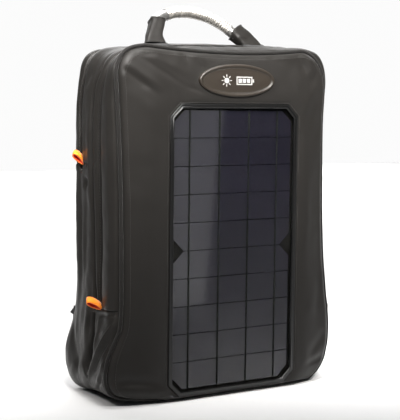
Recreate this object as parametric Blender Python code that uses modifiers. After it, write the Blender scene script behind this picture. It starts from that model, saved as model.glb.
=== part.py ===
"""A solar backpack: a slim laptop bag with a rigid solar panel recessed in its front cover.

Frame: +X is the wearer's left-to-right seen from the front, +Y is back towards the wearer, +Z is up.
The origin is the centre of the flat base, on the ground. Lengths are in metres.
"""
import math

import bmesh
import bpy
from mathutils import Vector

MM = 0.001
GAP = 0.3 * MM

# The bag's front-view outline.
HALF_WIDTH = 141 * MM
FLARED_HALF_WIDTH = 149 * MM
SIDE_STRAIGHT_FROM = 105 * MM
CORNER_TOP = 352 * MM
TOP_CORNER_RADIUS = 44 * MM
BOTTOM_CORNER_RADIUS = 38 * MM
TOP_CROWN = 399 * MM
CORNER_STEPS = 5

# Depths, front to back.
COVER_FRONT = -69.9 * MM
SEAM_Y = -60 * MM
FRONT_ZIP = (-29.3 * MM, -24.7 * MM)
REAR_ZIP = (14.6 * MM, 19.4 * MM)
DIVIDER = (12 * MM, 14 * MM)
DIVIDER_TOP = 350 * MM
BACK_AT_FLOOR = 49.6 * MM
BACK_LEAN = math.radians(2.4)
FABRIC = 1.6 * MM
TUB_FABRIC = 2.5 * MM

# Heights where the side zips end, and where the base tub stops.
TUB_TOP = 40 * MM
FRONT_ZIP_END = 107 * MM
REAR_ZIP_END = 264 * MM
COVER_BASE = 2 * MM

# The solar panel: two square cells, each cut into five strips.
CELL = 156 * MM
STRIPS_PER_CELL = 5
STRIP_GAP = 0.8 * MM
STRIP_PITCH = CELL / STRIPS_PER_CELL + 0.2 * MM
CELL_CHAMFER = 13 * MM
PANEL_Z = 170 * MM
GLASS_SIZE = (164 * MM, 321 * MM)
BEZEL_SIZE = (170 * MM, 327 * MM)
BEZEL_OPENING = (160 * MM, 317 * MM)
BEZEL_CHAMFER = 14 * MM
BEZEL_INNER_CHAMFER = 11 * MM
GLASS_CHAMFER = 10.5 * MM
JUNCTION_BOX = (60 * MM, 40 * MM)
JUNCTION_BOX_Z = 285 * MM

# The handle: an arched tube in two fabric loops, leaning back and rolled a little to one side.
HANDLE_AXIS = Vector((0, 1 * MM, 404.6 * MM))
HANDLE_LEAN = math.radians(-30)
ARCH_RADIUS = 76.7 * MM
ARCH_CENTRE = (-14 * MM, -36 * MM)
ARCH_LEFT = math.radians(129)
ARCH_RIGHT = math.radians(36)
COLLAR_LEFT = math.radians(112)
COLLAR_RIGHT = math.radians(45)
MOUTH_LEFT = math.radians(122.5)
MOUTH_RIGHT = math.radians(41)
COLLAR_GAP = 1.1 * MM
TUBE_RADIUS = 6.6 * MM
SLEEVE_FOOT_X = 67 * MM
SLEEVE_FOOT_RADIUS = 3.5 * MM
SLEEVE_RADIUS = 9.2 * MM
SLEEVE_END_RADIUS = 7.9 * MM
SLEEVE_WIDTH = 26 * MM

# Shoulder straps, in the frame of the leaning back panel.
STRAP_TOP = Vector((42 * MM, 0, 378 * MM))
STRAP_END = Vector((88 * MM, 0, 165 * MM))
STRAP_WIDTH = 58 * MM
STRAP_THICKNESS = 11 * MM
WEBBING_END = Vector((119 * MM, 0, 96 * MM))
WEBBING_WIDTH = 25 * MM
WEBBING_THICKNESS = 1.6 * MM

parts = bpy.data.collections.new("solar_backpack")
cutters = bpy.data.collections.new("cutters")


def clear_scene():
    for ob in list(bpy.data.objects):
        bpy.data.objects.remove(ob, do_unlink=True)
    bpy.context.scene.collection.children.link(parts)
    bpy.context.scene.collection.children.link(cutters)


def material(name, color, roughness, metallic=0.0):
    mat = bpy.data.materials.new(name)
    mat.use_nodes = True
    shader = mat.node_tree.nodes["Principled BSDF"]
    shader.inputs["Base Color"].default_value = (*color, 1)
    shader.inputs["Roughness"].default_value = roughness
    shader.inputs["Metallic"].default_value = metallic
    return mat


def add(name, data, mat, location=(0, 0, 0), rotation=(0, 0, 0), parent=None):
    """Put a new object in the bag's collection, with one material."""
    ob = bpy.data.objects.new(name, data)
    parts.objects.link(ob)
    ob.location = location
    ob.rotation_euler = rotation
    ob.parent = parent
    data.materials.append(mat)
    return ob


def empty(name, location, rotation=(0, 0, 0)):
    """An empty that stands on a joint's axis or in a local frame."""
    ob = bpy.data.objects.new(name, None)
    parts.objects.link(ob)
    ob.location = location
    ob.rotation_euler = rotation
    return ob


# Outlines ---------------------------------------------------------------------------------------

def corner(cx, cz, radius, start, end):
    """Points of a rounded corner, in degrees."""
    angles = [math.radians(start + (end - start) * i / CORNER_STEPS) for i in range(CORNER_STEPS + 1)]
    return [(cx + radius * math.cos(a), cz + radius * math.sin(a)) for a in angles]


def outline(inset=0.0, base=0.0):
    """The bag's closed front-view loop, anticlockwise from the right end of its flat base."""
    foot = FLARED_HALF_WIDTH - BOTTOM_CORNER_RADIUS
    right = corner(foot, base + BOTTOM_CORNER_RADIUS, BOTTOM_CORNER_RADIUS, -90, 0)
    right.append((HALF_WIDTH, SIDE_STRAIGHT_FROM))
    right += corner(HALF_WIDTH - TOP_CORNER_RADIUS, CORNER_TOP, TOP_CORNER_RADIUS, 0, 90)
    right.append((HALF_WIDTH * 0.35, TOP_CROWN))
    left = [(-x, z) for x, z in reversed(right)]
    return inset_loop(right + left, inset)


def inset_loop(loop, distance):
    """Move each point of an anticlockwise loop inwards by a distance, square to its edges."""
    result = []
    for i, point in enumerate(loop):
        before = Vector(point) - Vector(loop[i - 1])
        after = Vector(loop[(i + 1) % len(loop)]) - Vector(point)
        normal = Vector((-before.y, before.x)).normalized() + Vector((-after.y, after.x)).normalized()
        normal.normalize()
        stretch = normal.dot(Vector((-after.y, after.x)).normalized())
        moved = Vector(point) + normal * distance / stretch
        result.append((moved.x, moved.y))
    return result


def crossing(a, b, height):
    share = (height - a[1]) / (b[1] - a[1])
    return (a[0] + (b[0] - a[0]) * share, height)


def stretch_of(loop, height, above):
    """The open stretch of a closed loop above, or below, a height, with exact ends."""
    sign = 1 if above else -1
    count = len(loop)

    def inside(i):
        return sign * (loop[i % count][1] - height) > 0

    first = next(i for i in range(count) if inside(i) and not inside(i - 1))
    run = [crossing(loop[first - 1], loop[first], height)]
    i = first
    while inside(i):
        run.append(loop[i % count])
        i += 1
    run.append(crossing(loop[(i - 1) % count], loop[i % count], height))
    return run


def rectangle(width, height, chamfer=0.0, centre=(0.0, 0.0)):
    """A rectangle's loop, with its corners cut off by the chamfer."""
    x, z = width / 2, height / 2
    if chamfer:
        loop = [(x - chamfer, -z), (x, -z + chamfer), (x, z - chamfer), (x - chamfer, z)]
        loop += [(-px, -pz) for px, pz in loop]
    else:
        loop = [(x, -z), (x, z), (-x, z), (-x, -z)]
    return [(px + centre[0], pz + centre[1]) for px, pz in loop]


def flat_curve(name, loops, thickness):
    """A flat curve with one spline for each loop, filled, with the loops after the first as holes."""
    curve = bpy.data.curves.new(name, "CURVE")
    curve.dimensions = "2D"
    curve.fill_mode = "BOTH"
    curve.extrude = thickness / 2
    for loop in loops:
        spline = curve.splines.new("POLY")
        spline.points.add(len(loop) - 1)
        for point, (x, y) in zip(spline.points, loop):
            point.co = (x, y, 0, 1)
        spline.use_cyclic_u = True
    return curve


def plate(name, loops, y_span, mat, parent=None):
    """A flat piece drawn in front view, between two depths."""
    curve = flat_curve(name, loops, y_span[1] - y_span[0])
    return add(name, curve, mat, (0, sum(y_span) / 2, 0), (math.radians(90), 0, 0), parent)


def strip(name, outer, inner, height, above, y_span, mat):
    """The stretch of the bag's wall between two loops, above or below a height."""
    loop = stretch_of(outer, height, above) + stretch_of(inner, height, above)[::-1]
    return plate(name, [loop], y_span, mat)


def side_profile(name, loop, width, mat, parent):
    """A piece drawn in side view (Y, Z) and made as wide as given."""
    curve = flat_curve(name, [loop], width)
    return add(name, curve, mat, (0, 0, 0), (math.radians(90), 0, math.radians(90)), parent)


def tube(name, points, radius, mat, resolution=2, cyclic=False, parent=None):
    """A round rod along points, with closed ends."""
    curve = bpy.data.curves.new(name, "CURVE")
    curve.dimensions = "3D"
    curve.bevel_depth = radius
    curve.bevel_resolution = resolution
    curve.use_fill_caps = not cyclic
    spline = curve.splines.new("POLY")
    spline.points.add(len(points) - 1)
    for point, co in zip(spline.points, points):
        point.co = (*co, 1)
    spline.use_cyclic_u = cyclic
    return add(name, curve, mat, parent=parent)


def box(name, low, high, mat, bevel=0.0, parent=None):
    """A box between two corners, with its edges rounded by the bevel."""
    bpy.ops.mesh.primitive_cube_add(size=1)
    ob = bpy.context.object
    for collection in list(ob.users_collection):
        collection.objects.unlink(ob)
    parts.objects.link(ob)
    ob.name = name
    ob.data.name = name
    ob.data.materials.append(mat)
    size = Vector(high) - Vector(low)
    for vertex in ob.data.vertices:
        vertex.co = Vector(vertex.co) * size
    ob.location = (Vector(high) + Vector(low)) / 2
    ob.parent = parent
    if bevel:
        rounding = ob.modifiers.new("rounding", "BEVEL")
        rounding.width = bevel
        rounding.segments = 2
    return ob


def as_mesh(ob):
    """Turn a curve object into a mesh object of the same name and place, with its caps welded."""
    bpy.context.view_layer.update()
    evaluated = ob.evaluated_get(bpy.context.evaluated_depsgraph_get())
    mesh = bpy.data.meshes.new_from_object(evaluated)
    form = bmesh.new()
    form.from_mesh(mesh)
    bmesh.ops.remove_doubles(form, verts=form.verts, dist=0.01 * MM)
    form.to_mesh(mesh)
    form.free()
    name, matrix, mat = ob.name, ob.matrix_world.copy(), ob.data.materials[0]
    bpy.data.objects.remove(ob, do_unlink=True)
    mesh.materials.clear()
    solid = add(name, mesh, mat)
    solid.matrix_world = matrix
    return solid


def cut(ob, cutter):
    """Take a cutter's shape out of a mesh object."""
    cutters.objects.link(cutter)
    if cutter.name in parts.objects:
        parts.objects.unlink(cutter)
    cutter.hide_render = True
    cutter.display_type = "WIRE"
    difference = ob.modifiers.new("cut", "BOOLEAN")
    difference.operation = "DIFFERENCE"
    difference.solver = "EXACT"
    difference.object = cutter


# The bag's body ---------------------------------------------------------------------------------

def back_cutter(name, back_frame):
    """Everything behind the leaning back plane."""
    return box(name, (-0.3, -GAP, -0.1), (0.3, 0.2, 0.6), webbing, parent=back_frame)


def base_tub(back_frame):
    """The bottom of the bag, with both lower corners, from the front seam to the back."""
    floor_span = (SEAM_Y + 1.8 * MM, BACK_AT_FLOOR + 10 * MM)
    tub = strip("base_tub", outline(), outline(inset=TUB_FABRIC), TUB_TOP, False, floor_span, nylon)
    cut(as_mesh(tub), back_cutter("back_cut_tub", back_frame))
    box("base_board", (-102 * MM, -52 * MM, 2.8 * MM), (102 * MM, 42 * MM, 5.4 * MM), board, 0.8 * MM)


def gussets(back_frame):
    """The side and top walls of the two compartments, and the divider between them."""
    seam = TUB_TOP + GAP
    strip("main_gusset", outline(), outline(inset=FABRIC), seam, True, (FRONT_ZIP[1], REAR_ZIP[0]), nylon)
    rear_span = (REAR_ZIP[0] + GAP, BACK_AT_FLOOR + 10 * MM)
    rear = strip("rear_gusset", outline(), outline(inset=FABRIC), seam, True, rear_span, nylon)
    rear = as_mesh(rear)
    cut(rear, back_cutter("back_cut_gusset", back_frame))
    cut(rear, box("rear_zip_cut", (-0.2, 0, REAR_ZIP_END), (0.2, REAR_ZIP[1], 0.5), webbing))
    divider = stretch_of(outline(inset=TUB_FABRIC + GAP, base=3.2 * MM), DIVIDER_TOP, False)
    plate("divider", [divider], DIVIDER, lining)


def zip_chain(name, y_span, height):
    """Half a zip: its tape and teeth along the sides and over the top."""
    outer = outline(inset=GAP)
    strip(name, outer, outline(inset=GAP + 1.8 * MM), height, True, y_span, zip_black)


def zips_on_body():
    zip_chain("rear_zip_chain", (REAR_ZIP[0] + GAP, REAR_ZIP[1] - GAP), REAR_ZIP_END + GAP)
    zip_chain("front_zip_chain_body", (sum(FRONT_ZIP) / 2 + GAP / 2, FRONT_ZIP[1] - GAP), FRONT_ZIP_END)


def bellows():
    """The folded stretch of side wall below each end of the front zip."""
    span = (FRONT_ZIP[0] + GAP, FRONT_ZIP[1] - GAP)
    low, high = TUB_TOP + GAP, FRONT_ZIP_END - GAP
    for side, name in ((-1, "bellows_left"), (1, "bellows_right")):
        edge = [(FLARED_HALF_WIDTH - 1 * MM, low), (HALF_WIDTH - GAP, high)]
        fold = edge + [(x - 8 * MM, z) for x, z in reversed(edge)]
        plate(name, [[(side * x, z) for x, z in fold]], span, nylon)


def back(back_frame):
    """The padded back panel, leaning with the bag's back, and its two pads."""
    plate("back_panel", [outline(inset=0.5 * MM, base=6 * MM)], (GAP, 5 * MM), lining, back_frame)
    pad = [(16 * MM, 40 * MM), (78 * MM, 40 * MM), (84 * MM, 60 * MM), (84 * MM, 300 * MM)]
    pad += [(70 * MM, 335 * MM), (24 * MM, 335 * MM), (16 * MM, 320 * MM)]
    for side, name in ((-1, "back_pad_left"), (1, "back_pad_right")):
        plate(name, [[(side * x, z) for x, z in pad]], (5.3 * MM, 13.5 * MM), mesh_fabric, back_frame)


# The shoulder straps ----------------------------------------------------------------------------

def ribbon(points, thickness):
    """A side-view loop of one thickness along points."""
    outer, inner = [], []
    for i, point in enumerate(points):
        before = Vector(points[max(i - 1, 0)])
        after = Vector(points[min(i + 1, len(points) - 1)])
        normal = (after - before).normalized()
        normal = Vector((-normal.y, normal.x)) * thickness / 2
        outer.append(tuple(Vector(point) + normal))
        inner.append(tuple(Vector(point) - normal))
    return outer + inner[::-1]


def strap_frame(name, top, end, side, back_frame):
    """An empty at a strap's top whose -Z runs down the strap, in the plane of the back."""
    slant = math.atan2(end.x - top.x, top.z - end.z)
    ob = empty(name, (side * top.x, 0, top.z), (0, -side * slant, 0))
    ob.parent = back_frame
    return ob, (end - top).length


def straps(back_frame):
    """A padded strap, its ladder lock and webbing, and the tab that anchors it, on each side."""
    for side, word in ((-1, "left"), (1, "right")):
        frame, length = strap_frame("strap_frame_" + word, STRAP_TOP, STRAP_END, side, back_frame)
        shares = ((0.0, 12), (0.05, 19), (0.14, 27), (0.3, 30), (0.55, 29), (0.8, 26.5), (1.0, 24))
        run = [(depth * MM, -share * length) for share, depth in shares]
        side_profile("shoulder_strap_" + word, ribbon(run, STRAP_THICKNESS), STRAP_WIDTH, strap_nylon, frame)
        ladder_lock(word, frame, -length - 16 * MM)
        frame, length = strap_frame("webbing_frame_" + word, STRAP_END, WEBBING_END, side, back_frame)
        run = [(20.5 * MM, -10 * MM), (20 * MM, -40 * MM), (17.5 * MM, -length * 0.75), (14 * MM, -length)]
        side_profile("strap_webbing_" + word, ribbon(run, WEBBING_THICKNESS), WEBBING_WIDTH, webbing, frame)
        tab = [(140 * MM, 52 * MM), (140 * MM, 98 * MM), (131 * MM, 82 * MM), (131 * MM, 68 * MM)]
        tab = [(side * x, z) for x, z in tab]
        plate("strap_anchor_" + word, [tab], (5.5 * MM, 24 * MM), webbing, back_frame)


def ladder_lock(word, frame, z):
    """A two-slot buckle at the strap's lower end."""
    loops = [rectangle(34 * MM, 30 * MM, 4 * MM, (0, z))]
    loops += [rectangle(26 * MM, 5 * MM, 0, (0, z + step)) for step in (7 * MM, -5 * MM)]
    plate("ladder_lock_" + word, loops, (22 * MM, 26 * MM), plastic, frame)


# The front cover and its panel ------------------------------------------------------------------

def front_cover():
    """The padded front with its window, the wall behind it and the piping between them."""
    window = rectangle(GLASS_SIZE[0] + 2 * GAP, GLASS_SIZE[1] + 2 * GAP, GLASS_CHAMFER, (0, PANEL_Z))
    face = outline(inset=2 * MM, base=COVER_BASE)
    plate("front_panel", [face, window], (COVER_FRONT, SEAM_Y - GAP), nylon)
    tub_seam = TUB_TOP + GAP
    strip("front_gusset", outline(), outline(inset=FABRIC), tub_seam, True,
          (SEAM_Y + 1.8 * MM, FRONT_ZIP[0]), nylon)
    seam = [(x, SEAM_Y, z) for x, z in outline(base=COVER_BASE)]
    tube("front_piping", seam, 1.5 * MM, webbing, resolution=1, cyclic=True)
    zip_chain("front_zip_chain_cover", (FRONT_ZIP[0] + GAP, sum(FRONT_ZIP) / 2 - GAP / 2), FRONT_ZIP_END)
    hole = rectangle(JUNCTION_BOX[0] + 2 * MM, JUNCTION_BOX[1] + 2 * MM, 0, (0, JUNCTION_BOX_Z))
    plate("cover_lining", [face, hole], (SEAM_Y, SEAM_Y + 1.5 * MM), lining)


def solar_panel():
    """Glass, cells and ribbons in a black bezel, on a backsheet and a stiff board."""
    centre = (0, PANEL_Z)
    bezel_loops = [rectangle(*BEZEL_SIZE, BEZEL_CHAMFER, centre)]
    bezel_loops.append(rectangle(*BEZEL_OPENING, BEZEL_INNER_CHAMFER, centre))
    plate("panel_bezel", bezel_loops, (-72.2 * MM, -70.2 * MM), plastic)
    pane = rectangle(*GLASS_SIZE, GLASS_CHAMFER, centre)
    plate("panel_glass", [pane], (-69.9 * MM, -67.4 * MM), glass)
    for i in range(4):
        x = (i - 1.5) * CELL / 4
        ribbon_loop = rectangle(1.8 * MM, 2 * CELL, 0, (x, PANEL_Z))
        plate(f"busbar_{i + 1}", [ribbon_loop], (-67.1 * MM, -66.9 * MM), tinned_copper)
    cells()
    plate("panel_backsheet", [pane], (-65.8 * MM, -64.3 * MM), backsheet)
    hole = rectangle(JUNCTION_BOX[0] + 2 * MM, JUNCTION_BOX[1] + 2 * MM, 0, (0, JUNCTION_BOX_Z))
    plate("panel_board", [pane, hole], (-64 * MM, -61.5 * MM), board)


def cells():
    """Ten strips; the first and last of each square keep the square's cut corners."""
    count = 2 * STRIPS_PER_CELL
    height = STRIP_PITCH - STRIP_GAP
    half = CELL / 2
    for i in range(count):
        z = PANEL_Z + (i - (count - 1) / 2) * STRIP_PITCH
        low, high = z - height / 2, z + height / 2
        if i % STRIPS_PER_CELL == 0:
            side = [(half - CELL_CHAMFER, low), (half, low + CELL_CHAMFER), (half, high)]
        elif i % STRIPS_PER_CELL == STRIPS_PER_CELL - 1:
            side = [(half, low), (half, high - CELL_CHAMFER), (half - CELL_CHAMFER, high)]
        else:
            side = [(half, low), (half, high)]
        loop = side + [(-x, z_side) for x, z_side in reversed(side)]
        plate(f"cell_strip_{i + 1:02d}", [loop], (-66.6 * MM, -66.1 * MM), silicon)


def electronics():
    """The junction box, and the charge controller and battery in their pocket inside the cover."""
    half_x, half_z = JUNCTION_BOX[0] / 2, JUNCTION_BOX[1] / 2
    box_low = JUNCTION_BOX_Z - half_z
    box("junction_box", (-half_x, -64 * MM, box_low), (half_x, -50 * MM, JUNCTION_BOX_Z + half_z),
        plastic, 2 * MM)
    pocket = box("inner_pocket", (-82 * MM, -58.2 * MM, 52 * MM), (82 * MM, -35 * MM, 132 * MM), lining)
    inside = box("pocket_cut", (-80.5 * MM, -56.7 * MM, 53.5 * MM), (80.5 * MM, -36.5 * MM, 0.2), lining)
    cut(pocket, inside)
    box("battery_pack", (-76 * MM, -55 * MM, 54 * MM), (-4 * MM, -39 * MM, 148 * MM), battery_blue, 2.5 * MM)
    box("charge_controller", (6 * MM, -55 * MM, 54 * MM), (74 * MM, -40 * MM, 138 * MM), plastic, 2 * MM)
    route = [(0, -55, 264.4), (1, -54, 252), (6, -52.5, 238), (15, -51, 222), (24, -50, 206)]
    route += [(32, -49, 188), (37, -48, 170), (39.5, -47.6, 154), (40, -47.5, 138.5)]
    tube("panel_lead", [Vector(p) * MM for p in route], 2 * MM, cable)


def badge():
    """The oval rubber badge above the panel."""
    steps = 28
    angles = [2 * math.pi * i / steps for i in range(steps)]
    oval = [(50 * MM * math.cos(a), 359.5 * MM + 18.5 * MM * math.sin(a)) for a in angles]
    plate("badge", [oval], (-74 * MM, -70.2 * MM), brown_rubber)


# The handle -------------------------------------------------------------------------------------

def arch_point(angle):
    """A point of the handle's arched centre line, in the handle's own plane."""
    return Vector((ARCH_CENTRE[0] + ARCH_RADIUS * math.cos(angle), 0,
                   ARCH_CENTRE[1] + ARCH_RADIUS * math.sin(angle)))


def arch(name, start, end, radius, mat, parent, steps=10):
    angles = [start + (end - start) * i / steps for i in range(steps + 1)]
    return tube(name, [arch_point(a) for a in angles], radius, mat, 3, parent=parent)


def handle():
    """The ribbed tube, a smooth ferrule at each end, and the fabric loops that hold them."""
    axis = empty("handle_axis", HANDLE_AXIS, (HANDLE_LEAN, 0, 0))
    seam = COLLAR_GAP / ARCH_RADIUS
    arch("handle_tube", COLLAR_LEFT - seam, COLLAR_RIGHT + seam, TUBE_RADIUS, aluminium, axis, 12)
    arch("handle_collar_left", ARCH_LEFT, COLLAR_LEFT, TUBE_RADIUS, chrome, axis, 3)
    arch("handle_collar_right", COLLAR_RIGHT, ARCH_RIGHT, TUBE_RADIUS, chrome, axis, 3)
    sleeve("left", -1, ARCH_LEFT, MOUTH_LEFT, axis)
    sleeve("right", 1, ARCH_RIGHT, MOUTH_RIGHT, axis)
    for side, word in ((-1, "left"), (1, "right")):
        patch_z = TOP_CROWN + GAP
        low = (side * SLEEVE_FOOT_X - 16 * MM, -13 * MM, patch_z)
        high = (side * SLEEVE_FOOT_X + 16 * MM, 14 * MM, patch_z + 1.2 * MM)
        box("handle_patch_" + word, low, high, webbing)


def tube_cutter(name, axis):
    """The tube with running room round it."""
    grown = arch(name, ARCH_LEFT + 0.03, ARCH_RIGHT - 0.03, TUBE_RADIUS + GAP, aluminium, axis, 14)
    return as_mesh(grown)


def circle_points(form, centre, axis_vector, radius, steps=12):
    across = axis_vector.normalized()
    side = Vector((0, 1, 0))
    up = across.cross(side)
    for i in range(steps):
        a = 2 * math.pi * i / steps
        form.verts.new(centre + (side * math.cos(a) + up * math.sin(a)) * radius)


def sleeve(word, side, tube_end, mouth, axis):
    """A fabric loop: round its foot about the handle's axis, and round the tube at its top."""
    form = bmesh.new()
    for share in (-0.5, 0.5):
        foot = Vector((side * SLEEVE_FOOT_X + share * SLEEVE_WIDTH, 0, 0))
        circle_points(form, foot, Vector((1, 0, 0)), SLEEVE_FOOT_RADIUS)
    for angle, radius in ((tube_end - side * math.radians(1), SLEEVE_END_RADIUS), (mouth, SLEEVE_RADIUS)):
        tangent = Vector((-math.sin(angle), 0, math.cos(angle)))
        circle_points(form, arch_point(angle), tangent, radius)
    hull = bmesh.ops.convex_hull(form, input=form.verts)
    loose = [v for v in hull["geom_interior"] if isinstance(v, bmesh.types.BMVert)]
    bmesh.ops.delete(form, geom=loose, context="VERTS")
    bmesh.ops.recalc_face_normals(form, faces=form.faces)
    mesh = bpy.data.meshes.new("handle_sleeve_" + word)
    form.to_mesh(mesh)
    form.free()
    ob = add("handle_sleeve_" + word, mesh, nylon, parent=axis)
    cut(ob, tube_cutter("sleeve_cut_" + word, axis))


# Zip sliders and pulls --------------------------------------------------------------------------

def slider(name, y, z, pull_length, pull_angle):
    """A saddle on the left side's zip, and its loop pull, hinged on the saddle's outer face."""
    x = -HALF_WIDTH - GAP
    box(name + "_slider", (x - 4 * MM, y - 4 * MM, z - 6 * MM), (x, y + 4 * MM, z + 6 * MM), plated, 1 * MM)
    hinge = empty(name + "_pull_axis", (x - 5.6 * MM, y, z), (0, pull_angle, 0))
    width, thickness = 8 * MM, 2.4 * MM
    loop = rectangle(pull_length, thickness, 0.8 * MM, (-pull_length / 2 + 1 * MM, 0))
    curve = flat_curve(name + "_pull", [loop], width)
    add(name + "_pull", curve, orange, (0, 0, 0), (math.radians(90), 0, 0), hinge)


def sliders():
    slider("front", sum(FRONT_ZIP) / 2, FRONT_ZIP_END + 1 * MM, 19 * MM, math.radians(27))
    slider("rear", sum(REAR_ZIP) / 2, REAR_ZIP_END + 2 * MM, 17 * MM, math.radians(42))


clear_scene()

nylon = material("nylon", (0.045, 0.042, 0.04), 0.62)
lining = material("lining", (0.08, 0.08, 0.085), 0.85)
mesh_fabric = material("mesh_fabric", (0.03, 0.03, 0.032), 0.9)
strap_nylon = material("strap_nylon", (0.04, 0.038, 0.036), 0.7)
webbing = material("webbing", (0.02, 0.02, 0.021), 0.75)
board = material("board", (0.12, 0.12, 0.12), 0.7)
zip_black = material("zip_black", (0.015, 0.015, 0.016), 0.45)
plastic = material("plastic", (0.012, 0.012, 0.013), 0.35)
glass = material("glass", (0.05, 0.05, 0.07), 0.05)
tinned_copper = material("tinned_copper", (0.02, 0.02, 0.03), 0.3, 0.8)
silicon = material("silicon", (0.03, 0.028, 0.05), 0.25, 0.3)
backsheet = material("backsheet", (0.01, 0.01, 0.012), 0.5)
battery_blue = material("battery_blue", (0.03, 0.08, 0.2), 0.4)
cable = material("cable", (0.01, 0.01, 0.01), 0.5)
brown_rubber = material("brown_rubber", (0.05, 0.035, 0.025), 0.45)
aluminium = material("aluminium", (0.75, 0.76, 0.78), 0.35, 0.9)
chrome = material("chrome", (0.85, 0.85, 0.86), 0.12, 1.0)
plated = material("plated", (0.05, 0.05, 0.055), 0.3, 0.9)
orange = material("orange", (0.85, 0.18, 0.02), 0.5)

leaning_back = empty("back_frame", (0, BACK_AT_FLOOR, 0), (BACK_LEAN, 0, 0))
base_tub(leaning_back)
gussets(leaning_back)
zips_on_body()
bellows()
back(leaning_back)
straps(leaning_back)
front_cover()
solar_panel()
electronics()
badge()
handle()
sliders()
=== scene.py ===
import math

import bmesh
import bpy
import numpy as np
from mathutils import Matrix, Vector, noise


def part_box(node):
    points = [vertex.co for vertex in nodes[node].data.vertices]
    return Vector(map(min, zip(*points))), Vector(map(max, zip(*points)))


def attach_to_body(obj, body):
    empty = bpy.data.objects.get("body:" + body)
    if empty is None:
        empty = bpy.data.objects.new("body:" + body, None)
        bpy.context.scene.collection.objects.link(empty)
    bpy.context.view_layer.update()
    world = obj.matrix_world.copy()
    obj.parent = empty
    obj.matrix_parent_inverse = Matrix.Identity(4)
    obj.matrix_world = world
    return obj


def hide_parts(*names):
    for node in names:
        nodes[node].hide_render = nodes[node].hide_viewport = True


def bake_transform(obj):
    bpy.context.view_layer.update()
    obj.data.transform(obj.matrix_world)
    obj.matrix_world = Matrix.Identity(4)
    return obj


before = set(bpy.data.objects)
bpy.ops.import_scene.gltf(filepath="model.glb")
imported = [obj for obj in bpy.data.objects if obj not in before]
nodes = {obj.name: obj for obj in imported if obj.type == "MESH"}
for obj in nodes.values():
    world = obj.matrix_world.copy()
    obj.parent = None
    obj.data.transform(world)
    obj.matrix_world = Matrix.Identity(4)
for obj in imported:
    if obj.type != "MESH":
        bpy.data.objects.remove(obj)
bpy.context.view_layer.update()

MM = 0.001
CLOTH = 1.2


# Small tools -------------------------------------------------------------------------------------

def table(value, knots):
    """A smooth curve through (x, y) knots that doesn't overshoot between them."""
    xs = np.array([k[0] for k in knots], float)
    ys = np.array([k[1] for k in knots], float)
    step = np.diff(xs)
    slope = np.diff(ys) / step
    tangent = np.zeros(len(xs))
    same = slope[:-1] * slope[1:] > 0
    harmonic = 2 * slope[:-1] * slope[1:] / np.where(same, slope[:-1] + slope[1:], 1)
    tangent[1:-1] = np.where(same, harmonic, 0)
    value = np.clip(np.asarray(value, float), xs[0], xs[-1])
    i = np.clip(np.searchsorted(xs, value, side="right") - 1, 0, len(step) - 1)
    t = (value - xs[i]) / step[i]
    low, high = ys[i], ys[i + 1]
    rise, fall = tangent[i] * step[i], tangent[i + 1] * step[i]
    return ((2 * t**3 - 3 * t**2 + 1) * low + (t**3 - 2 * t**2 + t) * rise
            + (3 * t**2 - 2 * t**3) * high + (t**3 - t**2) * fall)


def ease(value, low, high):
    """0 below low, 1 above high, and smooth between."""
    t = np.clip((np.asarray(value, float) - low) / (high - low), 0, 1)
    return t * t * (3 - 2 * t)


def cloud(a, b, c, scale, seed):
    """Smooth noise between about -1 and 1 at points in millimetres."""
    a, b, c = np.broadcast_arrays(a, b, c)
    flat = [noise.noise(Vector((x / scale + seed, y / scale, z / scale)))
            for x, y, z in zip(a.ravel(), b.ravel(), c.ravel())]
    return np.array(flat).reshape(a.shape)


def strokes(a, b, folds):
    """Sum of soft ridges and valleys. A fold is (a0, b0, a1, b1, width, height), in millimetres."""
    total = np.zeros(np.broadcast(a, b).shape)
    for a0, b0, a1, b1, width, height in folds:
        length = math.hypot(a1 - a0, b1 - b0)
        ua, ub = (a1 - a0) / length, (b1 - b0) / length
        along = (a - a0) * ua + (b - b0) * ub
        across = (b - b0) * ua - (a - a0) * ub
        taper = ease(along, -0.15 * length, 0.3 * length) * (1 - ease(along, 0.6 * length, 1.15 * length))
        total = total + height * taper * np.exp(-((across / width) ** 2))
    return total


def link(ob):
    bpy.context.scene.collection.objects.link(ob)
    return ob


def attach(ob, body, slot, *replaced):
    """Put a piece on the body that it moves with, and hide the CAD nodes it stands for; its slot is not
    used.
    """
    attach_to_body(ob, body)
    if replaced:
        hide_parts(*replaced)


def reshape(ob, reach=None, fill=False, turn=True, other=None):
    """Join points that meet, fill open ends, and turn every face outwards."""
    form = bmesh.new()
    form.from_mesh(ob.data)
    if other:
        form.from_mesh(other)
    if reach:
        bmesh.ops.remove_doubles(form, verts=form.verts, dist=reach)
    if fill:
        bmesh.ops.holes_fill(form, edges=[e for e in form.edges if e.is_boundary])
    if turn:
        bmesh.ops.recalc_face_normals(form, faces=form.faces)
    form.to_mesh(ob.data)
    form.free()


def box_mm(name):
    """The lowest and the highest corner of a CAD node, in millimetres."""
    return [np.array(corner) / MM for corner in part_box(name)]


def grid_quads(rows, columns, loop=False):
    """The corners of every quad of a grid of points, numbered row by row."""
    last = columns if loop else columns - 1
    i, j = np.meshgrid(np.arange(rows - 1), np.arange(last), indexing="ij")
    right = (j + 1) % columns
    low, high = i * columns, (i + 1) * columns
    return np.stack([low + j, low + right, high + right, high + j], -1).reshape(-1, 4)


def travelled(points):
    """Distance along a line of points to each of them."""
    return np.concatenate([[0], np.cumsum(np.linalg.norm(np.diff(points, axis=0), axis=1))])


def unit(vectors):
    """Vectors of the same directions, one long."""
    return vectors / np.maximum(np.linalg.norm(vectors, axis=-1, keepdims=True), 1e-9)


def facing(points, y=-1.0):
    """The direction forwards (or back, if y is 1) for each point of a line."""
    return np.tile([0.0, y, 0.0], (len(points), 1))


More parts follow.
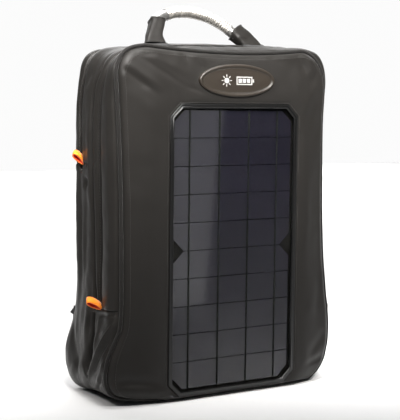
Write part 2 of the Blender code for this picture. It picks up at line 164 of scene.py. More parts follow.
def smooth_mesh(name, points, faces, mat):
    """A new piece from points in millimetres."""
    mesh = bpy.data.meshes.new(name)
    mesh.from_pydata((points.reshape(-1, 3) * MM).tolist(), [], faces)
    mesh.shade_smooth()
    mesh.materials.append(mat)
    return link(bpy.data.objects.new(name, mesh))


def grid_piece(name, x, y, z, mat, loop=False, thick=0.0, inner=None, flip=False):
    """A cloth surface from grids of points in millimetres; rows run across, columns run along."""
    rows, columns = x.shape
    points = np.stack([x, y, z], -1)
    quads = grid_quads(rows, columns, loop)
    if flip:
        quads = quads[:, ::-1]
    ob = smooth_mesh(name, points, quads.tolist(), mat)
    add_uv(ob.data, quads, points * MM, loop)
    if thick:
        if inner:
            ob.data.materials.append(inner)
        shell = ob.modifiers.new("cloth", "SOLIDIFY")
        shell.thickness = thick * MM
        shell.offset = -1
        shell.use_even_offset = False
        shell.material_offset = 1 if inner else 0
        shell.material_offset_rim = 0
    return ob


def add_uv(mesh, quads, points, loop):
    """A UV map in metres, along the middle row and across one column, so that a weave keeps its size."""
    rows, columns = points.shape[:2]
    along, across = travelled(points[rows // 2]), travelled(points[:, columns // 3])
    uv = mesh.uv_layers.new(name="cloth")
    row, column = quads // columns, quads % columns
    u = along[column]
    if loop:
        closing = along[-1] + (along[1] - along[0])
        wrapped = (column == 0) & (column.max(axis=1, keepdims=True) == columns - 1)
        u = np.where(wrapped, closing, u)
    flat = np.stack([u, across[row]], -1).reshape(-1, 2)
    uv.data.foreach_set("uv", flat.astype(np.float32).ravel())


def sweep(name, path, out, side, profile, mat, loop=False):
    """A closed strip: a profile of (out, side) points in millimetres carried along a path."""
    path, out, side = (np.asarray(v, float) for v in (path, out, side))
    ring = [path + out * p + side * q for p, q in profile]
    ring.append(ring[0])
    grid = np.stack(ring)
    ob = grid_piece(name, *np.moveaxis(grid, -1, 0), mat, loop=loop)
    reshape(ob, 1e-6, fill=not loop)
    return ob


def rod(name, points, radius, mat, loop=False):
    """A round cord along points in millimetres."""
    curve = bpy.data.curves.new(name, "CURVE")
    curve.dimensions = "3D"
    curve.bevel_depth = radius * MM
    curve.bevel_resolution = 3
    curve.use_fill_caps = True
    spline = curve.splines.new("POLY")
    spline.points.add(len(points) - 1)
    for point, co in zip(spline.points, points):
        point.co = (co[0] * MM, co[1] * MM, co[2] * MM, 1)
    spline.use_cyclic_u = loop
    curve.materials.append(mat)
    return link(bpy.data.objects.new(name, curve))


# A stitch: where its rings of corners lie along it and their sizes, and the turns of the corners.
STITCH_RINGS = ((-0.5, 0.35), (-0.3, 1.0), (0.3, 1.0), (0.5, 0.35))
STITCH_TURNS = np.radians([0, 60, 120, 180, 240, 300])


def dashes(name, path, out, pitch, length, radius, mat, loop=False):
    """A row of stitches lying along a path: short capsules at a regular pitch."""
    path, out = np.asarray(path, float), np.asarray(out, float)
    if loop:
        path, out = np.vstack([path, path[:1]]), np.vstack([out, out[:1]])
    reach = travelled(path)
    centres = np.arange(pitch / 2, reach[-1], pitch)

    def at(places, values):
        return np.stack([np.interp(places, reach, values[:, k]) for k in range(3)], -1)

    place, lift = at(centres, path), at(centres, out)
    along = unit(at(centres + 0.5, path) - place)
    across = np.cross(along, lift)
    ring = np.array([(share * length, radius * size * math.cos(a), 0.8 * radius * size * math.sin(a))
                     for share, size in STITCH_RINGS for a in STITCH_TURNS])
    verts = place[:, None] + np.einsum("kc,scd->skd", ring, np.stack([along, across, lift], 1))
    sides = [(k + a, k + (a + 1) % 6, k + 6 + (a + 1) % 6, k + 6 + a) for k in (0, 6, 12) for a in range(6)]
    capsule = sides + [tuple(range(5, -1, -1)), tuple(range(18, 24))]
    faces = [tuple(first + v for v in face) for first in range(0, 24 * len(place), 24) for face in capsule]
    return smooth_mesh(name, verts, faces, mat)


# Materials ---------------------------------------------------------------------------------------

def shader(name, color, roughness, metallic=0.0, **sockets):
    """A Principled material, with its node tree and its Principled node to build on."""
    mat = bpy.data.materials.new(name)
    mat.use_nodes = True
    tree = mat.node_tree
    principled = tree.nodes["Principled BSDF"]
    principled.inputs["Base Color"].default_value = (*color, 1)
    principled.inputs["Roughness"].default_value = roughness
    principled.inputs["Metallic"].default_value = metallic
    for key, value in sockets.items():
        principled.inputs[key.replace("_", " ")].default_value = value
    return mat, tree, principled


def mix_colors(tree, factor, first, second):
    """The first colour where the factor is 0 and the second where it is 1; the first can be a socket."""
    mix = tree.nodes.new("ShaderNodeMix")
    mix.data_type = "RGBA"
    if isinstance(first, tuple):
        mix.inputs["A"].default_value = (*first, 1)
    else:
        tree.links.new(first, mix.inputs["A"])
    mix.inputs["B"].default_value = (*second, 1)
    tree.links.new(factor, mix.inputs["Factor"])
    return mix.outputs["Result"]


def texture_node(tree, kind, source="Object"):
    """A node fed with one of the texture coordinates."""
    coordinates = tree.nodes.new("ShaderNodeTexCoord")
    made = tree.nodes.new("ShaderNode" + kind)
    tree.links.new(coordinates.outputs[source], made.inputs["Vector"])
    return made


def noise_node(tree, scale, detail):
    texture = texture_node(tree, "TexNoise")
    texture.inputs["Scale"].default_value = scale
    texture.inputs["Detail"].default_value = detail
    return texture.outputs["Fac"]


def wave_node(tree, pitch, direction):
    """Even bands, one every pitch metres."""
    texture = texture_node(tree, "TexWave", "UV")
    texture.bands_direction = direction
    texture.inputs["Scale"].default_value = math.pi / 10 / pitch
    texture.inputs["Distortion"].default_value = 0
    return texture.outputs["Fac"]


def math_node(tree, operation, a, b):
    node = tree.nodes.new("ShaderNodeMath")
    node.operation = operation
    for socket, value in zip(node.inputs, (a, b)):
        if isinstance(value, (int, float)):
            socket.default_value = value
        else:
            tree.links.new(value, socket)
    return node.outputs[0]


def plus(tree, a, b):
    return math_node(tree, "ADD", a, b)


def times(tree, a, b):
    return math_node(tree, "MULTIPLY", a, b)


def uneven_shine(tree, principled, roughness, scale, detail, spread):
    """Roughness that wanders by the spread, about its given value."""
    wander = times(tree, noise_node(tree, scale, detail), spread)
    tree.links.new(plus(tree, wander, roughness - spread / 2), principled.inputs["Roughness"])


def bump(tree, principled, height, distance, strength, base=None):
    node = tree.nodes.new("ShaderNodeBump")
    node.inputs["Distance"].default_value = distance
    node.inputs["Strength"].default_value = strength
    tree.links.new(height, node.inputs["Height"])
    if base:
        tree.links.new(base, node.inputs["Normal"])
    tree.links.new(node.outputs["Normal"], principled.inputs["Normal"])
    return node.outputs["Normal"]


def cloth(name, color, roughness=0.55, pitch=0.45 * MM, depth=0.08 * MM, sheen=0.15, contrast=0.16,
          specular=0.2):
    """Woven cloth: a plain weave in relief, uneven dye and slightly uneven shine."""
    mat, tree, principled = shader(name, color, roughness, Sheen_Weight=sheen, Sheen_Roughness=0.45,
                                   Specular_IOR_Level=specular)
    warp, weft = wave_node(tree, pitch, "X"), wave_node(tree, pitch, "Y")
    weave = plus(tree, times(tree, warp, 0.5), times(tree, weft, 0.5))
    tone = plus(tree, times(tree, noise_node(tree, 22, 4), 0.75), times(tree, weave, 0.25))
    dark, light = (tuple(c * (1 + sign * contrast) for c in color) for sign in (-1, 1))
    tree.links.new(mix_colors(tree, tone, dark, light), principled.inputs["Base Color"])
    uneven_shine(tree, principled, roughness, 60, 2, 0.16)
    fuzz = bump(tree, principled, noise_node(tree, 900, 2), 0.03 * MM, 0.5)
    bump(tree, principled, weave, depth, 0.7, fuzz)
    return mat


def moulded(name, color, roughness, grain=0.03 * MM, scale=700, metallic=0.0, **sockets):
    """Moulded plastic, rubber or coated metal: a fine grain and faint uneven tone."""
    mat, tree, principled = shader(name, color, roughness, metallic, **sockets)
    dark, light = (tuple(min(c * k, 1) for c in color) for k in (0.85, 1.15))
    tree.links.new(mix_colors(tree, noise_node(tree, 90, 3), dark, light), principled.inputs["Base Color"])
    uneven_shine(tree, principled, roughness, 140, 3, 0.14)
    bump(tree, principled, noise_node(tree, scale, 2), grain, 0.6)
    return mat


def cell_material():
    """Blue-black silicon: fine silver fingers across, faint busbars down, and a glossy cover."""
    mat, tree, principled = shader("silicon_cell", (0.005, 0.0045, 0.009), 0.07, 0.0, Specular_IOR_Level=0.6)
    split = texture_node(tree, "SeparateXYZ")
    fingers = line_mask(tree, split.outputs["Z"], 2.0 * MM, 0.2 * MM)
    bars = line_mask(tree, plus(tree, split.outputs["X"], 0.5), 39 * MM, 1.1 * MM, 0.5 - 0.039 * 12)
    base = mix_colors(tree, noise_node(tree, 14, 3), (0.0024, 0.0023, 0.0040), (0.0040, 0.0037, 0.0064))
    base = mix_colors(tree, times(tree, fingers, 0.22), base, (0.05, 0.05, 0.056))
    base = mix_colors(tree, times(tree, bars, 0.22), base, (0.12, 0.12, 0.14))
    tree.links.new(base, principled.inputs["Base Color"])
    return mat


def pane():
    """The clear cover over the cells, with a faint haze."""
    mat, tree, principled = shader("panel_glass", (1, 1, 1), 0.02, Transmission_Weight=1.0, IOR=1.06)
    haze = times(tree, noise_node(tree, 30, 3), 0.03)
    tree.links.new(haze, principled.inputs["Roughness"])
    return mat


def air_mesh():
    """Spacer mesh: staggered round holes through a matt knitted face, with painted shade in the holes."""
    knit = {"Sheen_Weight": 0.2, "Sheen_Roughness": 0.5}
    mat, tree, principled = shader("air_mesh", (0.03, 0.03, 0.03), 0.8, **knit)
    holes = texture_node(tree, "TexVoronoi", "UV")
    holes.voronoi_dimensions = "2D"
    holes.inputs["Scale"].default_value = 420
    holes.inputs["Randomness"].default_value = 0.15
    edge = times(tree, holes.outputs["Distance"], 1.6)
    # Painted shade: dark at the middle of each hole, paler on the knitted face.
    base = mix_colors(tree, edge, (0.006, 0.006, 0.006), (0.05, 0.048, 0.047))
    tree.links.new(base, principled.inputs["Base Color"])
    fuzz = bump(tree, principled, noise_node(tree, 700, 2), 0.05 * MM, 0.5)
    bump(tree, principled, edge, 0.5 * MM, 0.8, fuzz)
    return mat


def line_mask(tree, value, pitch, width, phase=0.0):
    """1 on thin lines, one every pitch, and 0 between them."""
    shifted = math_node(tree, "SUBTRACT", value, phase)
    share = math_node(tree, "FRACT", math_node(tree, "DIVIDE", shifted, pitch), 0)
    centred = math_node(tree, "ABSOLUTE", math_node(tree, "SUBTRACT", share, 0.5), 0)
    return math_node(tree, "LESS_THAN", centred, width / pitch / 2)


NYLON = cloth("black_nylon", (0.0128, 0.0117, 0.0106), 0.42, pitch=0.42 * MM, depth=0.05 * MM, sheen=0.03)
NYLON_TRIM = cloth("nylon_trim", (0.021, 0.0195, 0.018), 0.5, pitch=0.6 * MM)
# The piping's nylon, darker than the cloth as painted shade, with a duller shine.
PIPING_PAINTED_SHADE = cloth("piping_nylon_painted_shade", (0.010, 0.0093, 0.0087), 0.62, pitch=0.6 * MM, specular=0.12)
STRAP_CLOTH = cloth("strap_cloth", (0.018, 0.017, 0.0163), 0.6, pitch=0.8 * MM, depth=0.12 * MM)
LINING = cloth("grey_lining", (0.07, 0.07, 0.074), 0.8, sheen=0.1)
LINING_BACK = cloth("back_cloth", (0.023, 0.022, 0.022), 0.65, pitch=0.9 * MM, depth=0.12 * MM)
AIR_MESH = air_mesh()
WEBBING = cloth("webbing", (0.016, 0.016, 0.0165), 0.65, pitch=1.3 * MM, depth=0.25 * MM)
TAPE = cloth("zip_tape", (0.012, 0.012, 0.0125), 0.7, pitch=0.8 * MM, depth=0.1 * MM)
THREAD = moulded("black_thread", (0.032, 0.030, 0.028), 0.5, 0.02 * MM, 2500)
COIL = moulded("nylon_coil", (0.014, 0.014, 0.0145), 0.32)
FRAME_PLASTIC = moulded("frame_plastic", (0.005, 0.005, 0.005), 0.2)
BLACK_PLASTIC = moulded("black_plastic", (0.02, 0.02, 0.021), 0.4)
BUCKLE = moulded("buckle_plastic", (0.018, 0.018, 0.019), 0.35)
RUBBER = moulded("brown_rubber", (0.016, 0.0115, 0.0075), 0.45, 0.05 * MM, 900)
PALE_RUBBER = moulded("pale_rubber", (0.36, 0.355, 0.345), 0.45)
RIBBON_WEAVE = {"pitch": 0.9 * MM, "sheen": 0.2, "contrast": 0.08}
ORANGE = cloth("orange_ribbon", (0.95, 0.26, 0.02), 0.45, **RIBBON_WEAVE)
# The orange ribbon in painted shade: the deep red of the inside of a pull's loop, also used for its root
# stitches.
ORANGE_PAINTED_SHADE = cloth("orange_ribbon_painted_shade", (0.70, 0.05, 0.015), 0.5, **RIBBON_WEAVE)
FOIL = moulded("ribbed_foil", (0.46, 0.44, 0.41), 0.42, 0.10 * MM, 420, 0.85)
COLLAR = moulded("ferrule_metal", (0.40, 0.395, 0.385), 0.3, 0.01 * MM, 900, 0.9)
SLIDER_METAL = moulded("slider_metal", (0.05, 0.05, 0.055), 0.3, 0.02 * MM, 900, 0.9)
DULL = {"Specular_IOR_Level": 0.05}
BACKSHEET = moulded("backsheet", (0.003, 0.003, 0.0025), 0.7, 0.02 * MM, 300, **DULL)
BOARD = moulded("stiffener_board", (0.30, 0.29, 0.27), 0.7, 0.05 * MM, 300)
BATTERY = moulded("battery_wrap", (0.03, 0.06, 0.11), 0.38, 0.03 * MM, 200)
CABLE = moulded("cable_rubber", (0.015, 0.015, 0.016), 0.45)
RIBBON = moulded("tinned_ribbon", (0.004, 0.005, 0.0035), 0.7, 0.01 * MM, 900, **DULL)
GLASS = pane()
CELL = cell_material()


# The shape of the bag's skin ---------------------------------------------------------------------

# The unit outline's half width, height and corner radii, the piped seam's depth, the heights at which
# the two zips end, and how far the back leans.
HALF, TALL = 141.0, 400.0
TOP_R, BOTTOM_R = 42.0, 31.0
SEAM_Y = -60.0
ZIP_END, REAR_END = 107.0, 260.0
LEAN = math.radians(2.4)

# The left and right sides' half widths against height: at the seam, and at the widest depth.
SEAM_LEFT = (
    (0, 146), (5, 151), (11, 154), (21, 155), (34, 156), (48, 154.6), (61, 150.2), (75, 144.2),
    (87, 139.9), (106, 138.8), (121, 138.5), (164, 138.7), (230, 139.6), (272, 141.1), (300, 142.3),
    (355, 145.5), (375, 147), (400, 146),
)
SEAM_RIGHT = (
    (0, 136), (6, 137), (18, 139.5), (33, 142.8), (48, 145.6), (65, 146), (85, 144.5), (105, 141.5),
    (122, 139.5), (150, 136.3), (171, 134.9), (210, 133), (260, 131.7), (310, 131.2), (350, 132.8),
    (400, 133),
)
WAIST_LEFT = (
    (0, 148), (20, 153.5), (45, 154), (80, 151.5), (110, 149.5), (150, 148.7), (220, 149.3), (285, 151),
    (320, 150.5), (350, 149), (375, 145.5), (400, 142),
)
WAIST_RIGHT = (
    (0, 144), (20, 151), (45, 153.5), (80, 151), (120, 145.5), (220, 145), (330, 145), (365, 149),
    (400, 146),
)

# How far each side has gone from the one to the other, against depth.
SHARE_LEFT = (
    (-60, 0), (-54, 0.4), (-45, 0.72), (-32, 0.79), (-20, 0.85), (-7, 0.97), (0, 1), (18, 1),
    (42, 0.55), (60, 0.5),
)
SHARE_RIGHT = (
    (-60, 0), (-54, 0.36), (-45, 0.44), (-32, 0.34), (-20, 0.42), (-14, 0.6), (-7, 0.95), (0, 1),
    (60, 1),
)

# The top's height against depth, and the depth of the rear edge against height.
TOP_LINE = (
    (-60, 396), (-54, 398), (-42, 399.4), (-31, 399.6), (-27, 399), (-22, 399.4), (-14, 399.8),
    (-9, 400.2), (2, 401), (14, 400.5), (22, 399), (34, 395.7), (43, 389.5),
)
BACK_EDGE = (
    (0, 46), (14, 51), (35, 54), (60, 53), (85, 50.5), (117, 46.5), (134, 44), (324, 37), (400, 33.5),
)

# The deep fold between the compartments: where it lies, its width and its depth, against height.
CREASE = (
    (0, -11), (21, -9), (38, -9), (52, -12.7), (66, -15.5), (80, -16.3), (99, -15.5), (125, -14.5),
    (170, -11.5), (330, -10), (352, -12), (364, -15.5), (375, -20), (400, -22),
)
CREASE_WIDTH = (
    (0, 2), (22, 2.2), (30, 6), (42, 9), (55, 7.5), (70, 5), (85, 3.4), (105, 2.2), (200, 2.6),
    (290, 3.6), (330, 2.8), (350, 2.3), (375, 1.6),
)
CREASE_DEPTH = (
    (0, 1), (20, 2.5), (34, 10), (60, 12), (110, 9), (170, 6.5), (300, 5.5), (330, 9), (355, 8),
    (374, 2.5), (384, 0.5),
)


def rim_polyline():
    """The unit outline, anticlockwise from the middle of the base: x and z."""
    pieces = [np.stack([np.linspace(0, HALF - BOTTOM_R, 60), np.zeros(60)], -1)]
    for cz, radius, start in ((BOTTOM_R, BOTTOM_R, -90), (TALL - TOP_R, TOP_R, 0)):
        angle = np.radians(np.linspace(start, start + 90, 80))
        pieces.append(np.stack([HALF - radius + radius * np.cos(angle), cz + radius * np.sin(angle)], -1))
    pieces.insert(2, np.stack([np.full(300, HALF), np.linspace(BOTTOM_R, TALL - TOP_R, 300)], -1))
    pieces.append(np.stack([np.linspace(HALF - TOP_R, 0, 60), np.full(60, TALL)], -1))
    half = np.vstack(pieces)
    half = half[np.concatenate([[True], np.linalg.norm(np.diff(half, axis=0), axis=1) > 1e-6])]
    return np.vstack([half, (half * [-1, 1])[::-1][1:]])


RIM = rim_polyline()
RIM_AT = travelled(RIM)
RIM_LENGTH = RIM_AT[-1]
TANGENT = np.gradient(RIM, RIM_AT, axis=0)


def rim(s):
    """x, z, nx and nz of the unit outline at distances s along it."""
    s = np.mod(s, RIM_LENGTH)
    x, z = (np.interp(s, RIM_AT, RIM[:, k]) for k in (0, 1))
    tx, tz = (np.interp(s, RIM_AT, TANGENT[:, k]) for k in (0, 1))
    size = np.hypot(tx, tz)
    return x, z, tz / size, -tx / size


def rim_distance(height, right=True):
    """Where along the outline a side passes a height."""
    half = len(RIM) // 2
    s = np.interp(height, RIM[60:half, 1], RIM_AT[60:half])
    return s if right else RIM_LENGTH - s


def front_zip_y(z):
    """The front zip leans forward as it goes round the top corners."""
    return table(z, ((0, -27), (300, -27), (345, -30), (372, -35.5), (388, -40), (400, -41)))


def rear_zip_y(z):
    return table(z, ((0, 17), (290, 17.3), (325, 20), (350, 18.5), (372, 15.5), (400, 13)))


def front_depth(s):
    return 5.4 + 0 * s


def rear_depth(s):
    """How far the rear zip lies below the cloth: deeper down the side than over the top."""
    return 8.0 * (0.45 + 0.55 * np.abs(rim(s)[2]) ** 1.5)


def skin(s, y, lift=0.0):
    """A point of the bag's skin: distance along the outline, depth, and how far it stands out."""
    x0, z0, nx, nz = rim(s)
    y = np.asarray(y, float)
    left = x0 < 0
    seam = np.where(left, table(z0, SEAM_LEFT), table(z0, SEAM_RIGHT))
    body = np.where(left, table(z0, WAIST_LEFT), table(z0, WAIST_RIGHT))
    share = np.where(left, table(y, SHARE_LEFT), table(y, SHARE_RIGHT))
    x = x0 * (seam + (body - seam) * share) / HALF
    behind = ease(y, -60, -46)
    sag = 5.6 * (1 - ease(y, -60, -42)) * np.clip(1 - (x0 / 108) ** 2, 0, 1)
    droop = (1.8 * ease(-x0, -20, 80) + 4.2 * ease(-x0, 50, 112)) * behind
    z = z0 + (table(y, TOP_LINE) - TALL - sag - droop) * ease(z0, 290, TALL)
    angle = np.degrees(np.arctan2(nz, np.abs(nx)))
    bulge = np.where(left, 5.5, 0.6 + 4.5 * ease(y, -60, -50)) + 4.2 * ease(y, -5, 25)
    corner = np.exp(-(((angle - 45) / 24) ** 2)) * bulge
    foot = np.exp(-(((angle + 45) / 24) ** 2)) * np.where(left, 3.0 + 1.5 * behind, 0.0)
    push = lift + corner + foot
    retreat = 5.0 * ease(x0, 60, 138) * (1 - ease(y, -60, -42))
    retreat = retreat + 4.0 * ease(-x0, 110, 140) * (1 - ease(z0, 60, 100)) * (1 - ease(y, -60, -42))
    raised = 7.5 * ease(-x0, 66, 120) * (1 - ease(z0, 0, 30)) * (1 - ease(y, -25, 30))
    return x + nx * push, y + retreat, np.maximum(z + nz * push + raised, 0.05)


def seam_path(s, y, lift=0.0):
    return np.stack(skin(s, y + 0 * s, lift), -1)


def outward(s):
    nx, nz = rim(s)[2:]
    return np.stack([nx, 0 * nx, nz], -1)


# Folds on the left side wall, as (y, z, y, z, width, height); the right side has its own.
LEFT_FOLDS = (
    (4, 350, 5, 180, 6, -1.4), (4, 250, 9, 238, 4.5, -3.4), (2, 232, 8, 120, 6, -1.2),
    (-3, 372, 9, 352, 5, -1.2), (31, 255, 31, 120, 6, 1.4), (20, 258, 21, 100, 4.5, -1.5),
    (26, 350, 28, 285, 4, -1.0), (12, 200, 12, 130, 4, 1.0), (-4, 118, -2, 60, 5, 2.0),
    (12, 110, 26, 40, 8, 1.5), (34, 80, 14, 22, 6, -1.8), (37, 330, 38, 150, 3, -1.0),
    (20, 45, 44, 22, 5, -1.4), (6, 40, 22, 14, 5, 1.5),
)
RIGHT_FOLDS = (
    (6, 360, 9, 285, 5, -1.4), (6, 248, 2, 236, 5, -2.8), (4, 225, 8, 110, 6, -1.3),
    (28, 250, 30, 110, 6, 1.3), (30, 345, 27, 290, 4, -1.0), (12, 100, 24, 35, 8, 1.5),
    (33, 70, 14, 25, 6, -1.6), (20, 240, 19, 120, 4.5, -1.2),
)


def crease(y, x0, z0, nx):
    """How far the deep fold between the two compartments is drawn in."""
    offset = np.abs(y - table(z0, CREASE)) / table(z0, CREASE_WIDTH)
    power = 2 + 2 * (1 - ease(z0, 70, 110))
    side = np.abs(nx) ** 1.5 * np.where(x0 < 0, 1.0, 0.8)
    return table(z0, CREASE_DEPTH) * np.exp(-(offset**power)) * side


def body_lift(s, y):
    """Relief of the wall of the two rear compartments, in millimetres."""
    x0, z0, nx = rim(s)[:3]
    side = np.abs(nx) ** 1.5
    groove = np.exp(-(((y - rear_zip_y(z0)) / 3.6) ** 4)) * rear_depth(s) * ease(z0, REAR_END - 4, REAR_END)
    puff = 1.8 * np.sin(np.clip((y + 8) / 24, 0, 1) * math.pi)
    puff = puff + 1.5 * np.sin(np.clip((y - 20) / 22, 0, 1) * math.pi)
    ridge = 1.6 * np.exp(-(((y - table(z0, CREASE) + 6.5) / 3.0) ** 2)) * ease(z0, 105, 140) * side
    left = strokes(y, z0, LEFT_FOLDS) * ease(-x0, 60, 120)
    right = strokes(y, z0, RIGHT_FOLDS) * ease(x0, 60, 120)
    seam = -1.6 * np.exp(-(((z0 - REAR_END - 5) / 1.6) ** 2)) * side * ease(y, -7, 0)
    pucker = 0.5 * np.sin(z0 / 3.1 + 2 * np.sin(y)) * np.exp(-(((z0 - REAR_END - 5) / 6) ** 2)) * side
    lumps = 0.9 * cloud(x0 * 0.5, y * 1.2, z0 * 0.6, 30, 3.1) + 0.4 * cloud(x0, y * 1.7, z0 * 0.8, 12, 8.7)
    lobe = 3.0 * ease(y, 18, 46) * np.exp(-(((z0 - 58) / 46) ** 2)) * side
    lip = -4.2 * (1 - ease(y - front_zip_y(z0), 3.0, 6.2)) * ease(z0, ZIP_END - 12, ZIP_END - 4) * side
    edge = table(z0, BACK_EDGE)
    radius = 9.0 + 4 * (1 - ease(z0, 60, 130))
    inset = np.clip((y - edge) / radius + 1, 0, 0.999)
    roll = -radius * (1 - np.sqrt(1 - inset**2)) * 0.85
    ground = ease(z0, 0, 14)
    relief = (puff + left + right + lumps + seam + pucker + ridge + lobe) * ground
    return relief + lip - crease(y, x0, z0, nx) * ease(z0, 0, 10) - groove + roll


def body_rows(s, rows):
    """Depths of the body wall's rows: from the front zip, or the deep fold below it, to the back."""
    z0 = rim(s)[1]
    upper = front_zip_y(z0) + 1.3
    front = table(z0, CREASE) + (upper - table(z0, CREASE)) * ease(z0, ZIP_END - 7, ZIP_END - 1)
    share = np.linspace(0, 1, rows)[:, None]
    return front + (table(z0, BACK_EDGE) - front) * share


def body_wall():
    """The wall of both rear compartments, from the front zip to the back, all the way round."""
    s = np.linspace(0, RIM_LENGTH, 700, endpoint=False)
    y = body_rows(s, 100)
    s = np.broadcast_to(s, y.shape)
    x, y, z = skin(s, y, body_lift(s, y))
    ob = grid_piece("body_wall", x, y, z, NYLON, loop=True, thick=CLOTH, inner=LINING, flip=True)
    attach(ob, "bag_body", "nylon", "base_tub", "main_gusset", "rear_gusset")
    return x[-1], y[-1], z[-1]


def front_lift(s, y):
    """Relief of the front compartment's wall, from the piping to the zip."""
    x0, z0 = rim(s)[:2]
    reach = front_zip_y(z0) - SEAM_Y
    puff = 2.4 * np.sin(np.clip((y - SEAM_Y) / reach, 0, 1) * math.pi) ** 0.8
    puff = puff * (1 - 0.75 * ease(z0, 370, TALL))
    ripple = 0.6 * cloud(x0, y * 1.3, z0, 14, 5.5) + 0.9 * cloud(x0 * 0.5, y, z0 * 0.6, 36, 1.7)
    lip = -4.2 * ease(y, front_zip_y(z0) - 6.2, front_zip_y(z0) - 3.0)
    flange = -3.2 * (1 - ease(y, SEAM_Y + 2, SEAM_Y + 5.5))
    return puff + ripple * ease(z0, 0, 15) + lip + flange


def front_wall():
    """The cover's own wall, above the ends of the front zip."""
    s = np.linspace(rim_distance(ZIP_END), rim_distance(ZIP_END, False), 560)
    z0 = rim(s)[1]
    share = np.linspace(0, 1, 44)[:, None]
    y = SEAM_Y + 0.5 + (front_zip_y(z0) - 1.3 - SEAM_Y - 0.5) * share
    s = np.broadcast_to(s, y.shape)
    x, y, z = skin(s, y, front_lift(s, y))
    ob = grid_piece("front_wall", x, y, z, NYLON, thick=CLOTH, inner=LINING, flip=True)
    attach(ob, "front_cover", "nylon", "front_gusset")


# Folds of the slack corner below the zip, as (y, z, y, z, width, height).
LOWER_FOLDS = (
    (-61, 100, -34, 57, 3.4, 3.2), (-47, 74, -8, 18, 3.4, 3.4), (-56, 78, -26, 34, 3.0, -3.0),
    (-60, 104, -28, 99, 2.6, -1.4), (-42, 100, -22, 74, 4.5, -1.4), (-57, 56, -30, 14, 3.5, 1.6),
    (-50, 34, -24, 8, 2.6, -2.4), (-30, 96, -24, 60, 3, 1.3),
)


def lower_wall():
    """The slack cloth below the zip's ends, which joins the cover to the bag and runs under it."""
    start, end = rim_distance(ZIP_END, False), rim_distance(ZIP_END) + RIM_LENGTH
    s = np.linspace(start, end, 520)
    z0 = rim(s)[1]
    share = np.linspace(0, 1, 64)[:, None]
    y = SEAM_Y + 0.5 + (table(z0, CREASE) + 1.5 - SEAM_Y - 0.5) * share
    s = np.broadcast_to(s, y.shape)
    x0, z0, nx = rim(s)[:3]
    side = ease(np.abs(x0), 80, 125)
    folds = strokes(y, z0, LOWER_FOLDS) * side * ease(z0, 2, 14)
    lip = -1.5 * np.exp(-(((z0 - ZIP_END) / 2.0) ** 2))
    drawn = crease(y, x0, z0, nx) * ease(z0, 0, 10)
    puff = front_lift(s, np.minimum(y, -36)) * ease(y, SEAM_Y, SEAM_Y + 3)
    relief = (puff + folds + lip) * ease(z0 + 8 * np.abs(nx), 0, 8) - drawn
    x, y, z = skin(s, y, relief)
    ob = grid_piece("lower_wall", x, y, z, NYLON, thick=CLOTH, inner=LINING, flip=True)
    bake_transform(ob)
    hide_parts("bellows_left", "bellows_right")


# The front cover ---------------------------------------------------------------------------------

# The bezel's middle height, half width, half height and corner cut.
BEZEL_LOW, BEZEL_HIGH = box_mm("panel_bezel")
PANEL_Z = (BEZEL_LOW[2] + BEZEL_HIGH[2]) / 2
BEZEL_W = BEZEL_HIGH[0]
BEZEL_H = (BEZEL_HIGH[2] - BEZEL_LOW[2]) / 2
BEZEL_C = 14.0

# Its section, inwards and forwards from its outer edge: a thin lip, a slope, and a bead by the glass.
BEZEL_PROFILE = (
    (0, 0.2), (0.1, 1.3), (-0.25, 1.6), (-0.6, 1.55), (-2.9, 0.85), (-3.1, 1.3), (-3.35, 1.65),
    (-3.7, 1.8), (-4.05, 1.65), (-4.3, 1.3), (-4.4, 0.8), (-4.9, 0.7), (-5.0, 0.2),
)
# The depths of the stitches round the panel, of the badge's stitches, and of its emblem.
STITCH_Y, BADGE_STITCH_Y, EMBLEM_Y = -70.75, -72.95, -73.35

# The badge's section, as distance in from its edge, and depth.
BADGE_PROFILE = (
    (0.0, -70.0), (0.0, -72.4), (0.5, -73.3), (1.4, -73.8), (2.8, -73.8), (3.6, -73.3), (4.0, -72.9),
    (5.5, -72.8), (9.0, -73.0), (13.5, -73.1), (18.3, -73.15),
)

# Folds on the front, as (x, z, x, z, width, height).
FRONT_FOLDS = (
    (-146, 373, -102, 344, 3.6, -1.5), (-142, 380, -96, 349, 4.2, 1.5),
    (-130, 388, -66, 352, 2.8, -0.9), (-120, 391, -62, 366, 4.6, 1.1),
    (-134, 389, -104, 386, 3.5, -1.3), (-66, 353, -38, 344, 3.0, -0.7), (-144, 352, -96, 318, 8.0, 0.7),
    (-74, 391, -60, 381, 2.6, -1.1), (-60, 392, -38, 377, 5.0, 1.4), (-30, 388, -5, 383, 4.0, -1.0),
    (44, 390, 70, 380, 5.0, -1.1), (85, 394, 102, 370, 6.0, -1.7), (100, 392, 118, 362, 6.0, 1.4),
    (126, 386, 104, 352, 6.0, -1.4), (112, 340, 94, 298, 8.0, -1.1), (128, 320, 116, 250, 9.0, 1.0),
    (-130, 262, -124, 150, 8.0, 1.0), (-148, 31, -94, 25, 4.5, -2.2), (-144, 20, -84, 13, 4.5, 1.9),
    (144, 30, 100, 22, 5.0, -1.9), (138, 60, 108, 30, 7.0, -1.2), (-146, 100, -118, 52, 8.0, -1.1),
    (130, 140, 120, 70, 8.0, -1.0), (-100, 300, -96, 180, 7.0, -0.8), (102, 250, 98, 150, 7.0, 0.8),
    (-140, 150, -112, 104, 8.0, 0.8),
)


def corner_split(loop, corners):
    """Loop points from corner to corner, evenly spaced, with a fixed count on each side."""
    sides = []
    reach = travelled(loop)
    marks = [reach[np.argmin(np.linalg.norm(loop - np.array(c), axis=1))] for c in corners]
    for k, count in enumerate((200, 120, 200, 120)):
        a, b = marks[k], marks[(k + 1) % 4]
        if b <= a:
            b += reach[-1]
        at = np.linspace(a, b, count, endpoint=False) % reach[-1]
        sides.append(np.stack([np.interp(at, reach, loop[:, j]) for j in range(loop.shape[1])], -1))
    return np.vstack(sides)


